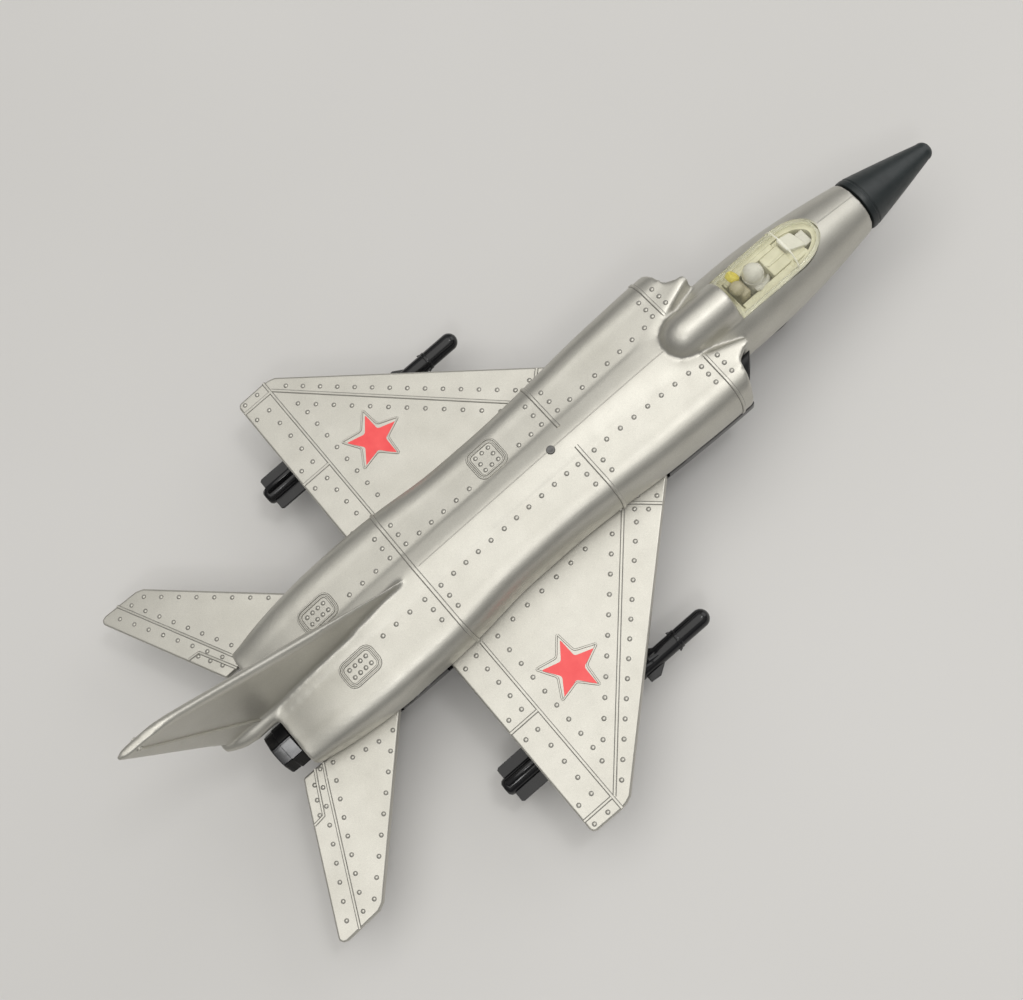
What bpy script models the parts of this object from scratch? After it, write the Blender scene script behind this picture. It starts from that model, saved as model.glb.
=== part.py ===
"""A die-cast toy jet with side intakes, delta wings and twin exhausts.

Lengths are in millimetres. X runs forward from the wings' trailing edge, Y to port, and Z up from the
wings' upper face. place() turns them into metres about the middle of the length, at ground level.
"""

import math

import bmesh
import bpy
from mathutils import Matrix, Vector

MM = 0.001
GAP = 0.3

# Driving dimensions
NOSE_TIP_X = 121.3
FIN_TIP_X = -44.1
RIDE_HEIGHT = 15.0
HALF_SPAN = 50.0
WALL = 1.3

BODY_REAR_X = -28.0
TRUNK_FRONT_X = 74.0
LOWER_FRONT_X = 67.4
CONE_BASE_X = 103.4
CONE_BASE_RADIUS = 5.0
CONE_AXIS_Z = 2.2
CONE_DROOP = 2.3
CONE_SPIGOT_RADIUS = 2.7
NOSE_SHELL_REAR_X = 56.0
BELLY_Z = -5.0
BELLY_PANEL = ((18.0, -6.0), (31.0, 6.0))
BELLY_PANEL_HEIGHT = 0.5

WING_THICKNESS = 1.6
WING_ROOT_Y = 14.0
WING_FRONT = (48.7, 13.45)
WING_CORNER = (8.6, 49.45)
WING_ANHEDRAL = 0.057

TAIL_FRONT_X = -11.4
TAIL_TONGUE_X = -24.0
TAIL_THICKNESS = 1.4
TAIL_ROOT_Y = 11.0
TAIL_TOP_Z = -1.2
TAIL_ANHEDRAL = 0.13

FIN_ROOT_X = 4.5
FIN_TOP_Z = 36.0
FIN_BEND_X = -35.0
FIN_THICKNESS = 2.0

CANOPY_REAR_X = 74.8
CANOPY_FRONT_X = 94.4
CANOPY_HALF_WIDTH = 4.2
CANOPY_TOP_Z = 14.0
CANOPY_BOTTOM_Z = 8.7
CANOPY_ROUND = 7.0
CANOPY_WALL = 0.75
TUB_FLOOR_Z = 4.4
HELMET_Z = 11.1
HELMET_RADIUS = 1.75
HUMP_END_X = 61.2

NOZZLE_Y = 5.7
NOZZLE_Z = 0.1
NOZZLE_RADIUS = 4.4
NOZZLE_END_X = -32.0
SPIGOT_RADIUS = 3.3

MISSILE_Y = 34.4
MISSILE_Z = -7.2
MISSILE_RADIUS = 1.65
MISSILE_NOSE_X = 38.6
MISSILE_RING_X = 31.7
MISSILE_TAIL_X = -6.9

RIVET_RADIUS = 0.75
RIVET_XS = {"front_rivet": 60.0, "centre_rivet": 36.0, "rear_rivet": -16.0}

NOSE_GEAR_X = 84.0
NOSE_LEG_RADIUS = 1.1
NOSE_WHEEL_RADIUS = 3.2
MAIN_GEAR_X = 14.0
MAIN_LEG_Y = 7.4
MAIN_LEG_RADIUS = 1.3
MAIN_WHEEL_Y = 10.3
MAIN_WHEEL_RADIUS = 4.0
AXLE_RADIUS = 0.6
AXLE_CLEARANCE = 0.09

MIDDLE_X = (NOSE_TIP_X + FIN_TIP_X) / 2

SILVER = ((0.62, 0.61, 0.57), 0.38, 0.75)
BLACK = ((0.012, 0.012, 0.013), 0.22, 0.0)
SATIN_BLACK = ((0.015, 0.017, 0.018), 0.45, 0.0)
CREAM = ((0.72, 0.69, 0.52), 0.5, 0.0)
CLEAR = ((0.85, 0.83, 0.62), 0.08, 0.0)
HELMET = ((0.55, 0.54, 0.53), 0.35, 0.4)
YELLOW = ((0.72, 0.62, 0.06), 0.5, 0.0)
BEIGE = ((0.52, 0.48, 0.38), 0.5, 0.0)
STEEL = ((0.28, 0.27, 0.26), 0.4, 0.9)
TYRE = ((0.02, 0.02, 0.02), 0.6, 0.0)


def place(x, y, z):
    """Metres in the model's frame from millimetres on the drawing."""
    return Vector(((x - MIDDLE_X) * MM, y * MM, (z + RIDE_HEIGHT) * MM))


def track(x, *stations):
    """The value at x on straight lines between (x, value) stations in rising x."""
    if x <= stations[0][0]:
        return stations[0][1]
    for (x0, v0), (x1, v1) in zip(stations, stations[1:]):
        if x <= x1:
            t = (x - x0) / (x1 - x0)
            return v0 + (v1 - v0) * t
    return stations[-1][1]


def spread(start, end, count):
    return [start + (end - start) * i / (count - 1) for i in range(count)]


# Materials, collections and objects


def material(name, look):
    colour, roughness, metallic = look
    found = bpy.data.materials.get(name)
    if found:
        return found
    made = bpy.data.materials.new(name)
    made.use_nodes = True
    shader = made.node_tree.nodes["Principled BSDF"]
    shader.inputs["Base Color"].default_value = (*colour, 1)
    shader.inputs["Roughness"].default_value = roughness
    shader.inputs["Metallic"].default_value = metallic
    return made


def new_object(name, mesh, look=None, parent=None):
    """A part where it has a look, and otherwise a cutter or other helper."""
    obj = bpy.data.objects.new(name, mesh)
    if look is None:
        HELPERS.objects.link(obj)
        obj.hide_render = True
        obj.display_type = "WIRE"
    else:
        PARTS.objects.link(obj)
        mesh.materials.append(material(name, look))
        mesh.shade_smooth()
        mesh.set_sharp_from_angle(angle=math.radians(35))
    if parent:
        obj.parent = parent
        obj.matrix_parent_inverse = parent.matrix_basis.inverted()
    return obj


def pivot(name, x, y, z):
    """An empty on a joint's axis, which holds the pieces that turn on it."""
    empty = bpy.data.objects.new(name, None)
    empty.empty_display_size = 0.003
    empty.location = place(x, y, z)
    PARTS.objects.link(empty)
    return empty


def mesh_from(bm, name):
    bmesh.ops.recalc_face_normals(bm, faces=bm.faces)
    mesh = bpy.data.meshes.new(name)
    bm.to_mesh(mesh)
    bm.free()
    return mesh


def evaluated_mesh(obj, name):
    """The object's mesh with its modifiers or its curve made real, and its loose caps welded."""
    bpy.context.view_layer.update()
    graph = bpy.context.evaluated_depsgraph_get()
    mesh = bpy.data.meshes.new_from_object(obj.evaluated_get(graph))
    mesh.name = name
    bm = bmesh.new()
    bm.from_mesh(mesh)
    bmesh.ops.remove_doubles(bm, verts=bm.verts, dist=1e-6)
    bm.to_mesh(mesh)
    bm.free()
    return mesh


def boolean(obj, others, operation):
    for other in others:
        modifier = obj.modifiers.new(f"{operation.lower()}_{other.name}", "BOOLEAN")
        modifier.object = other
        modifier.operation = operation
        modifier.solver = "EXACT"


def cut(obj, *cutters):
    boolean(obj, cutters, "DIFFERENCE")


def join(obj, *others):
    boolean(obj, others, "UNION")


def baked(obj, name):
    """A helper whose Booleans are made real, so that it can be joined to or cut from another."""
    made = new_object(name, evaluated_mesh(obj, name))
    bpy.data.objects.remove(obj)
    return made


# Shapes


def loft(name, rings):
    """A closed solid through rings of points, each ring with the same number of points."""
    bm = bmesh.new()
    made = [[bm.verts.new(place(*point)) for point in ring] for ring in rings]
    for ring, after in zip(made, made[1:]):
        count = len(ring)
        for i in range(count):
            j = (i + 1) % count
            bm.faces.new((ring[i], ring[j], after[j], after[i]))
    bm.faces.new(made[0])
    bm.faces.new(list(reversed(made[-1])))
    return mesh_from(bm, name)


def outline_curve(name, points, thickness):
    """A flat closed outline with this thickness, centred on its own plane."""
    curve = bpy.data.curves.new(name, "CURVE")
    curve.dimensions = "2D"
    curve.fill_mode = "BOTH"
    curve.extrude = thickness * MM / 2
    spline = curve.splines.new("POLY")
    spline.points.add(len(points) - 1)
    for point, (u, v) in zip(spline.points, points):
        point.co = (u * MM, v * MM, 0, 1)
    spline.use_cyclic_u = True
    return new_object(name + "_outline", curve)


def plate(name, points, low, high):
    """A horizontal slab between two heights, from an outline in x and y."""
    curve = outline_curve(name, points, high - low)
    curve.location = (-MIDDLE_X * MM, 0, ((low + high) / 2 + RIDE_HEIGHT) * MM)
    return mesh_of_curve(curve, name)


def upright(name, points, y, thickness):
    """A slab in the vertical plane at y, from an outline in x and z."""
    curve = outline_curve(name, points, thickness)
    curve.rotation_euler = (math.pi / 2, 0, 0)
    curve.location = (-MIDDLE_X * MM, y * MM, RIDE_HEIGHT * MM)
    return mesh_of_curve(curve, name)


def mesh_of_curve(curve, name):
    mesh = evaluated_mesh(curve, name)
    mesh.transform(curve.matrix_world)
    bpy.data.objects.remove(curve)
    mesh.materials.clear()
    return mesh


def turned(name, profile, centre, axis, steps=24):
    """A solid of revolution from (radius, distance along the axis) points, top to bottom."""
    curve = bpy.data.meshes.new(name)
    points = [(radius * MM, 0, along * MM) for radius, along in profile]
    curve.from_pydata(points, [(i, i + 1) for i in range(len(points) - 1)], [])
    obj = new_object(name + "_profile", curve)
    screw = obj.modifiers.new("turn", "SCREW")
    screw.steps = steps
    screw.render_steps = steps
    screw.use_merge_vertices = True
    screw.merge_threshold = 1e-6
    screw.use_normal_calculate = True
    mesh = evaluated_mesh(obj, name)
    bpy.data.objects.remove(obj)
    turn = Vector((0, 0, 1)).rotation_difference(Vector(axis)).to_matrix().to_4x4()
    mesh.transform(Matrix.Translation(place(*centre)) @ turn)
    bm = bmesh.new()
    bm.from_mesh(mesh)
    bmesh.ops.dissolve_limit(bm, angle_limit=math.radians(0.3), verts=bm.verts, edges=bm.edges)
    return mesh_from(bm, name)


def rod(name, radius, start, end, axis, steps=20):
    """A plain cylinder from start to end, which differ only along the axis."""
    length = (Vector(end) - Vector(start)).length
    return turned(name, [(0, length), (radius, length), (radius, 0), (0, 0)], start, axis, steps)


def box(name, low, high):
    bm = bmesh.new()
    bmesh.ops.create_cube(bm, size=1)
    start, end = place(*low), place(*high)
    for vert in bm.verts:
        vert.co = Vector(a + (b - a) * (c + 0.5) for a, b, c in zip(start, end, vert.co))
    return mesh_from(bm, name)


def bevelled(obj, width, segments=2):
    modifier = obj.modifiers.new("rounded_edges", "BEVEL")
    modifier.width = width * MM
    modifier.segments = segments
    modifier.limit_method = "ANGLE"
    modifier.angle_limit = math.radians(40)
    return obj


# The body's sections


def parting_z(x):
    """The height where the casting meets the lower body."""
    return track(x, (-10.0, -1.05), (-3.0, 0.0))


def half_width(x):
    """The body narrows at its waist, over the wings, and towards its rear."""
    rear = ((-28.0, 10.5), (-24.0, 11.6), (-18.0, 13.0), (-10.0, 14.1), (0.0, 14.3), (7.0, 14.0))
    return track(x, *rear, (17.0, 12.9), (30.0, 12.8), (40.0, 13.3), (50.0, 14.1), (62.0, 14.5))


def flat_z(x):
    """The height of the trunks' flat tops."""
    rear = ((-28.0, 6.0), (-20.0, 7.9), (-10.0, 8.9))
    return track(x, *rear, (6.0, 9.5), (36.0, 10.2), (66.0, 10.8), (74.0, 11.0))


def spine_z(x):
    rear = ((-28.0, 6.4), (-20.0, 8.5), (-10.0, 9.6))
    return track(x, *rear, (6.0, 10.4), (36.0, 11.5), (58.0, 11.3), (62.0, 10.9))


def trunk_inner_y(x):
    return track(x, (-28.0, 3.0), (56.0, 3.6), (62.0, 4.0), (66.0, 4.9), (73.0, 7.3))


def nose_radius(x):
    front = ((84.0, 7.5), (91.0, 6.9), (97.0, 6.05), (CONE_BASE_X, CONE_BASE_RADIUS))
    return track(x, (56.0, 7.3), (62.0, 7.7), (78.0, 7.7), *front)


def nose_axis_z(x):
    return track(x, (80.0, 3.0), (CONE_BASE_X, CONE_AXIS_Z))


def mirrored(half):
    """A closed ring from a half that runs from its side's edge at +y to the middle, y = 0."""
    return half + [(x, -y, z) for x, y, z in reversed(half[:-1])]


def trunk_ring(x, inset=0.0, bottom=None):
    """The casting's section behind the intakes: side, shoulder, flat top, inner wall and spine."""
    width = half_width(x) - inset
    top = flat_z(x) - inset
    inner = trunk_inner_y(x)
    low = parting_z(x) + GAP / 2 if bottom is None else bottom
    shoulder_z = min(3.5, top - 2.0)
    flat_y = max(0.62 * width, inner + 0.8)
    half = [(x, width - 0.5, low), (x, width, shoulder_z)]
    for angle in spread(18, 72, 4):
        a = math.radians(angle)
        y = flat_y + (width - flat_y) * math.cos(a)
        half.append((x, y, shoulder_z + (top - 0.5 - shoulder_z) * math.sin(a)))
    half += [(x, flat_y, top - 0.5), (x, inner, top)]
    body = nose_axis_z(x) - 0.2 - inset
    for share in (0.94, 0.6, 0.3, 0.0):
        y = inner * share
        spine = top + (spine_z(x) - inset - top) * (0.5 + 0.5 * math.cos(math.pi * share))
        valley = body + math.sqrt(max(nose_radius(x) ** 2 - y * y, 1.0))
        half.append((x, y, track(x, (58.0, spine), (64.0, valley))))
    return mirrored(half)


def nose_ring(x, inset=0.0, bottom=None, steps=11):
    """The round forward body's section above the parting line."""
    radius, middle = nose_radius(x) - inset, nose_axis_z(x)
    low = parting_z(x) + GAP / 2 if bottom is None else bottom
    start = math.asin(max((low - middle) / radius, -0.95))
    half = [
        (x, radius * math.cos(a), max(middle + radius * math.sin(a), low))
        for a in spread(start, math.pi / 2, steps)
    ]
    half[-1] = (x, 0.0, middle + radius)
    return mirrored(half)


def lower_trunk_ring(x, inset=0.0, top=None):
    width = half_width(x) - 0.5 - inset
    high = parting_z(x) - GAP / 2 if top is None else top
    floor = track(x, (-28.0, -4.4), (-20.0, BELLY_Z)) + inset
    corner = 3.6
    half = [(x, width, high)]
    for angle in spread(0, 90, 5):
        a = math.radians(angle)
        y = width - corner + corner * math.cos(a)
        half.append((x, y, floor + 0.75 * corner * (1 - math.sin(a))))
    half.append((x, 0.0, floor))
    return mirrored(half)


def lower_nose_ring(x, inset=0.0, top=None, steps=7):
    radius, middle = nose_radius(x) - inset, nose_axis_z(x)
    high = parting_z(x) - GAP / 2 if top is None else top
    start = math.asin((min(high, middle - 0.1) - middle) / radius)
    angles = spread(start, -math.pi / 2, steps)
    half = [(x, radius * math.cos(a), middle + radius * math.sin(a)) for a in angles]
    if top is not None:
        half.insert(0, (x, half[0][1], top))
    half[-1] = (x, 0.0, middle - radius)
    return mirrored(half)


TRUNK_XS = [BODY_REAR_X, -26, -23, -20, -15, -10, -5, 0, 7, 12, 17, 24, 30, 36, 40, 45, 50]
TRUNK_XS += [56, 58, 60, 62, 64, 66, 69, 71.5, TRUNK_FRONT_X]
NOSE_XS = [NOSE_SHELL_REAR_X, 60, 64, 68, 73, 78, 81, 84, 87.5, 91, 94, 97, 100.2, CONE_BASE_X]


def trimmed(stations, start, end):
    """The stations between start and end, with both ends among them."""
    return [start] + [x for x in stations if start + 1.0 < x < end - 1.0] + [end]


# Cutters that more than one piece needs


def canopy_plan(grow):
    """The canopy's outline from above: a straight rear edge, straight sides and a round front."""
    width = CANOPY_HALF_WIDTH + grow
    straight_end = CANOPY_FRONT_X - CANOPY_ROUND
    points = [(CANOPY_REAR_X - grow, -width), (straight_end, -width)]
    for angle in spread(-75, 75, 11):
        a = math.radians(angle)
        points.append((straight_end + (CANOPY_ROUND + grow) * math.cos(a), width * math.sin(a)))
    return points + [(straight_end, width), (CANOPY_REAR_X - grow, width)]


def rivet_hole(name, x, top=8.0):
    return new_object(name, rod(name, RIVET_RADIUS + 0.12, (x, 0, -8), (x, 0, top), (0, 0, 1), 16))


def nozzle_bores(prefix):
    made = []
    for side in (1, -1):
        y = side * NOZZLE_Y
        start, end = (BODY_REAR_X - 3.0, y, NOZZLE_Z), (BODY_REAR_X + 3.5, y, NOZZLE_Z)
        bore = rod(f"{prefix}_bore", SPIGOT_RADIUS + GAP, start, end, (1, 0, 0), 24)
        made.append(new_object(f"{prefix}_nozzle_bore_{side}", bore))
    return made


def cone_socket(name):
    """The round hole in the body's front, which the two halves share."""
    start, end = (CONE_BASE_X - 4, 0, CONE_AXIS_Z), (CONE_BASE_X + 4, 0, CONE_AXIS_Z)
    return new_object(name, rod(name, CONE_SPIGOT_RADIUS + GAP, start, end, (1, 0, 0), 24))


def lip_cutters():
    """Clears the trunks' fronts to a concave curve that ends in a point at the inner wall."""
    points = [(90, 6.6), (72.6, 6.6), (72.4, 7.7)]
    for share in spread(0.12, 1.0, 7):
        y = 7.7 + (14.2 - 7.7) * share
        points.append((72.4 - 4.3 * math.sin(math.pi / 2 * min(1.0, share * 1.6)) - 0.5 * share, y))
    points += [(67.3, 16.5), (90, 16.5)]
    starboard = [(x, -y) for x, y in points]
    return [
        new_object("port_lip_cutter", plate("port_lip", points, -8.0, 16.0)),
        new_object("starboard_lip_cutter", plate("starboard_lip", starboard, -8.0, 16.0)),
    ]


# The pieces


def fin_outline():
    """The fin in x and z, from its leading edge's root round to its foot inside the spine."""
    return [
        (FIN_ROOT_X, 9.6),
        (FIN_BEND_X + 2.0, FIN_TOP_Z - 1.6),
        (FIN_BEND_X - 1.0, FIN_TOP_Z - 0.3),
        (FIN_BEND_X - 3.0, FIN_TOP_Z),
        (FIN_TIP_X + 0.8, FIN_TOP_Z),
        (FIN_TIP_X, FIN_TOP_Z - 0.8),
        (-36.2, 6.2),
        (-30.0, 5.2),
        (-24.0, 5.4),
        (-10.0, 7.4),
    ]


def taper_fin(mesh):
    """Thins the fin from its root to its tip."""
    low = place(0, 0, 9.0).z
    high = place(0, 0, FIN_TOP_Z).z
    for vert in mesh.vertices:
        share = min(max((vert.co.z - low) / (high - low), 0.0), 1.0)
        vert.co.y *= 1.0 - 0.4 * share


def hump_ring(x):
    """The half-round hump behind the canopy, which sinks into the body at its rear end."""
    share = min(max((x - HUMP_END_X) / 4.5, 0.0), 1.0)
    swell = math.sqrt(1 - (1 - share) ** 2)
    width, top = 0.6 + 3.5 * swell, 10.4 + (CANOPY_TOP_Z - 10.4) * swell
    half = [(x, width, 8.0), (x, width, 9.3)]
    for angle in spread(22.5, 67.5, 3):
        a = math.radians(angle)
        half.append((x, width * math.cos(a), 9.3 + (top - 9.3) * math.sin(a)))
    return mirrored(half + [(x, 0.0, top)])


def fuselage_casting():
    """The upper body, hollow from below, with the hump, fin and parachute tube."""
    trunk = new_object("trunk_solid", loft("trunk_solid", [trunk_ring(x) for x in TRUNK_XS]))
    hollow_xs = trimmed(TRUNK_XS, BODY_REAR_X + WALL, TRUNK_FRONT_X + 1.0)
    hollow_rings = [trunk_ring(x, WALL, parting_z(x) - 2.0) for x in hollow_xs]
    hollow = new_object("trunk_hollow", loft("trunk_hollow", hollow_rings))
    cut(trunk, hollow, *lip_cutters())
    trunk = baked(trunk, "trunk_shell")

    nose_mesh = loft("fuselage_casting", [nose_ring(x) for x in NOSE_XS])
    nose = new_object("fuselage_casting", nose_mesh, SILVER)
    nose_hollow_xs = trimmed(NOSE_XS, NOSE_SHELL_REAR_X - 1.0, CONE_BASE_X - 2.0)
    hollow_rings = [nose_ring(x, WALL, parting_z(x) - 2.0) for x in nose_hollow_xs]
    cut(nose, new_object("nose_hollow", loft("nose_hollow", hollow_rings)))
    hump_xs = [HUMP_END_X, 61.6, 62.4, 63.6, 65.7, CANOPY_REAR_X - GAP]
    hump = new_object("hump", loft("hump", [hump_ring(x) for x in hump_xs]))
    fin_mesh = upright("fin", fin_outline(), 0.0, FIN_THICKNESS)
    taper_fin(fin_mesh)
    fin = bevelled(new_object("fin", fin_mesh), 0.45)
    tube_profile = [(0, 17.5), (1.6, 17.5), (2.1, 9.0), (1.75, 1.2), (1.2, 0.2), (0, 0)]
    tube = turned("parachute_tube", tube_profile, (-37.6, 0, 5.7), (1, 0, -0.02), 16)
    bosses, holes = [], []
    for name, x in RIVET_XS.items():
        boss = rod(name, RIVET_RADIUS + 1.2, (x, 0, 0.4), (x, 0, flat_z(x) - 0.6), (0, 0, 1), 18)
        bosses.append(new_object(f"boss_{name}", boss))
        hole_top = 14.0 if name == "centre_rivet" else flat_z(x) - 2.6
        holes.append(rivet_hole(f"casting_hole_{name}", x, hole_top))
    join(nose, trunk, hump, fin, new_object("parachute_tube", tube), *bosses)
    cockpit = new_object("cockpit_opening", plate("cockpit_opening", canopy_plan(0.2), 6.5, 16.0))
    cut(nose, *holes, cockpit, cone_socket("casting_cone_socket"), *nozzle_bores("casting"))


def lower_body():
    """The black plastic belly, a tray open upward, notched for the wing and tailplane castings."""
    body_xs = trimmed(TRUNK_XS, BODY_REAR_X, LOWER_FRONT_X)
    body = new_object("lower_trunk", loft("lower_trunk", [lower_trunk_ring(x) for x in body_xs]))
    tray_xs = trimmed(TRUNK_XS, BODY_REAR_X + WALL, LOWER_FRONT_X + 1.0)
    tray_rings = [lower_trunk_ring(x, WALL, 2.0) for x in tray_xs]
    cut(body, new_object("lower_trunk_hollow", loft("lower_hollow", tray_rings)))
    body = baked(body, "lower_trunk_shell")
    nose = new_object("lower_body", loft("lower_body", [lower_nose_ring(x) for x in NOSE_XS]), BLACK)
    nose_xs = trimmed(NOSE_XS, NOSE_SHELL_REAR_X - 1.0, CONE_BASE_X - 2.0)
    nose_rings = [lower_nose_ring(x, WALL, 2.0) for x in nose_xs]
    cut(nose, new_object("lower_nose_hollow", loft("lower_nose_hollow", nose_rings)))
    (rear, starboard), (front, port) = BELLY_PANEL
    low, high = BELLY_Z - BELLY_PANEL_HEIGHT, BELLY_Z + WALL / 2
    panel = box("belly_panel", (rear, starboard, low), (front, port, high))
    join(nose, body, new_object("belly_panel", panel))
    wing_low = -WING_THICKNESS - GAP
    notch = new_object("wing_notch", box("wing_notch", (-1.0, -20, wing_low), (49.2, 20, 3)))
    tail_low = TAIL_TOP_Z - TAIL_THICKNESS - GAP
    tail_notch = new_object("tail_notch", box("tail_notch", (-40.0, -20, tail_low), (-11.0, 20, 3)))
    holes = [rivet_hole(f"belly_hole_{name}", x) for name, x in RIVET_XS.items()]
    for name, radius, x, y in (
        ("nose_leg_hole", NOSE_LEG_RADIUS + GAP, NOSE_GEAR_X, 0.0),
        ("port_leg_hole", MAIN_LEG_RADIUS + GAP, MAIN_GEAR_X, MAIN_LEG_Y),
        ("starboard_leg_hole", MAIN_LEG_RADIUS + GAP, MAIN_GEAR_X, -MAIN_LEG_Y),
    ):
        holes.append(new_object(name, rod(name, radius, (x, y, -8), (x, y, -2), (0, 0, 1), 16)))
    cut(nose, notch, tail_notch, *holes, cone_socket("lower_cone_socket"), *nozzle_bores("lower"))


def slope_down(mesh, root_y, slope):
    """Creases a flat wing at its roots and lowers its tips."""
    bm = bmesh.new()
    bm.from_mesh(mesh)
    for side in (1, -1):
        everything = bm.verts[:] + bm.edges[:] + bm.faces[:]
        crease = (0, side * root_y * MM, 0)
        bmesh.ops.bisect_plane(bm, geom=everything, plane_co=crease, plane_no=(0, 1, 0))
    for vert in bm.verts:
        vert.co.z -= slope * max(0.0, abs(vert.co.y) - root_y * MM)
    bm.to_mesh(mesh)
    bm.free()


def both_sides(points):
    """A closed outline from its port half, which starts and ends on the middle line."""
    return points + [(x, -y) for x, y in reversed(points)]


def wing_casting():
    points = both_sides([
        (WING_FRONT[0], 8.0),
        WING_FRONT,
        WING_CORNER,
        (WING_CORNER[0] - 1.2, HALF_SPAN - 0.1),
        (6.0, HALF_SPAN + 0.1),
        (0.6, HALF_SPAN),
        (0.0, HALF_SPAN - 0.6),
        (0.0, 8.0),
    ])
    mesh = plate("wing_casting", points, -WING_THICKNESS, 0.0)
    slope_down(mesh, WING_ROOT_Y, WING_ANHEDRAL)
    wing = bevelled(new_object("wing_casting", mesh, SILVER), 0.3)
    cut(wing, rivet_hole("wing_hole", RIVET_XS["centre_rivet"]))


def tailplane_casting():
    points = both_sides([
        (TAIL_FRONT_X, 6.0),
        (TAIL_FRONT_X, 13.2),
        (-34.2, 35.6),
        (-35.6, 36.2),
        (-42.6, 36.5),
        (-43.5, 36.2),
        (-43.8, 35.4),
        (-31.6, TAIL_ROOT_Y + GAP),
        (TAIL_TONGUE_X, TAIL_ROOT_Y + GAP),
        (TAIL_TONGUE_X, 6.0),
    ])
    mesh = plate("tailplane_casting", points, TAIL_TOP_Z - TAIL_THICKNESS, TAIL_TOP_Z)
    slope_down(mesh, WING_ROOT_Y, TAIL_ANHEDRAL)
    tail = bevelled(new_object("tailplane_casting", mesh, SILVER), 0.3)
    cut(tail, rivet_hole("tail_hole", RIVET_XS["rear_rivet"]))


def nose_cone():
    """A drooping cone with a round tip, its collar and the spigot that the two body halves hold."""
    base = CONE_BASE_X + GAP
    length = NOSE_TIP_X - base
    rings = []
    wide = CONE_BASE_RADIUS
    profile = [(0.0, wide - 0.25), (0.02, wide), (0.06, wide), (0.3, 4.1), (0.6, 2.9), (0.85, 1.85)]
    for share, radius in profile + [(0.95, 1.35), (0.985, 0.85), (1.0, 0.3)]:
        x = base + length * share
        middle = CONE_AXIS_Z - CONE_DROOP * share
        rings.append([
            (x, radius * math.cos(a), middle + radius * math.sin(a))
            for a in (2 * math.pi * i / 28 for i in range(28))
        ])
    cone = new_object("nose_cone", loft("nose_cone", rings), SATIN_BLACK)
    start, end = (base - 2.6, 0, CONE_AXIS_Z), (base + 1, 0, CONE_AXIS_Z)
    spigot = rod("cone_spigot", CONE_SPIGOT_RADIUS, start, end, (1, 0, 0), 24)
    join(cone, new_object("cone_spigot", spigot))


def canopy_ring(x, inset=0.0):
    """The canopy's arch at x. It narrows and falls to a round front."""
    straight_end = CANOPY_FRONT_X - CANOPY_ROUND
    share = min(max((x - straight_end) / (CANOPY_ROUND - inset), 0.0), 0.985)
    narrow = math.sqrt(1 - share * share)
    width = (CANOPY_HALF_WIDTH - inset) * max(narrow, 0.12)
    rise = ((CANOPY_REAR_X, CANOPY_TOP_Z), (85.0, CANOPY_TOP_Z + 0.1))
    top = track(x, *rise, (90.5, 12.7), (CANOPY_FRONT_X, 10.2)) - inset
    bottom = CANOPY_BOTTOM_Z - (0.5 if inset else 0.0)
    half = [(x, width, bottom), (x, width, 9.6)]
    for angle in spread(15, 75, 5):
        a = math.radians(angle)
        half.append((x, width * math.cos(a) ** 0.9, 9.6 + (top - 9.6) * math.sin(a)))
    return mirrored(half + [(x, 0.0, top)])


def canopy():
    middle_xs = [79.0, 83.0, 86.0, 88.0, 90.0, 91.6]
    outer_xs = [CANOPY_REAR_X, *middle_xs, 92.8, 93.6, 94.1, CANOPY_FRONT_X]
    shell = new_object("canopy", loft("canopy", [canopy_ring(x) for x in outer_xs]), CLEAR)
    wall = CANOPY_WALL
    inner_xs = [CANOPY_REAR_X + wall, *middle_xs, 92.6, 93.2, CANOPY_FRONT_X - wall]
    hollow = loft("canopy_hollow", [canopy_ring(x, wall) for x in inner_xs])
    cut(shell, new_object("canopy_hollow", hollow))


def cockpit_tub():
    """A pale tray inside the round forward body."""
    tub_mesh = plate("cockpit_tub", canopy_plan(-0.7), TUB_FLOOR_Z - 0.8, CANOPY_BOTTOM_Z - 0.4)
    tub = new_object("cockpit_tub", tub_mesh, CREAM)
    cut(tub, new_object("tub_hollow", plate("tub_hollow", canopy_plan(-1.3), TUB_FLOOR_Z, 9.5)))


def seat_and_pilot():
    foot = TUB_FLOOR_Z + GAP
    back = box("ejection_seat", (76.9, -1.7, foot), (78.9, 1.7, 10.6))
    cushion = box("seat_cushion", (78.0, -1.7, foot), (82.2, 1.7, foot + 1.0))
    seat = new_object("ejection_seat", back, BEIGE)
    join(seat, new_object("seat_cushion", cushion))
    bevelled(seat, 0.25, 1)
    rest = rod("headrest", 1.0, (76.6, 1.3, 11.7), (78.4, 1.3, 11.7), (1, 0, 0), 16)
    new_object("headrest", rest, YELLOW)
    torso_rings = []
    angles = [2 * math.pi * i / 16 for i in range(16)]
    torso = [(6.0, 1.1, 1.3), (7.6, 1.1, 1.6), (9.2, 0.95, 1.75), (9.9, 0.7, 1.2), (10.6, 0.6, 0.6)]
    for z, depth, width in torso:
        torso_rings.append([(80.3 + depth * math.cos(a), width * math.sin(a), z) for a in angles])
    pilot = new_object("pilot", loft("pilot", torso_rings), HELMET)
    helmet = bmesh.new()
    bmesh.ops.create_uvsphere(helmet, u_segments=16, v_segments=10, radius=HELMET_RADIUS * MM)
    helmet_mesh = mesh_from(helmet, "helmet")
    helmet_mesh.transform(Matrix.Translation(place(80.8, 0, HELMET_Z)))
    join(pilot, new_object("helmet", helmet_mesh))


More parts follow.
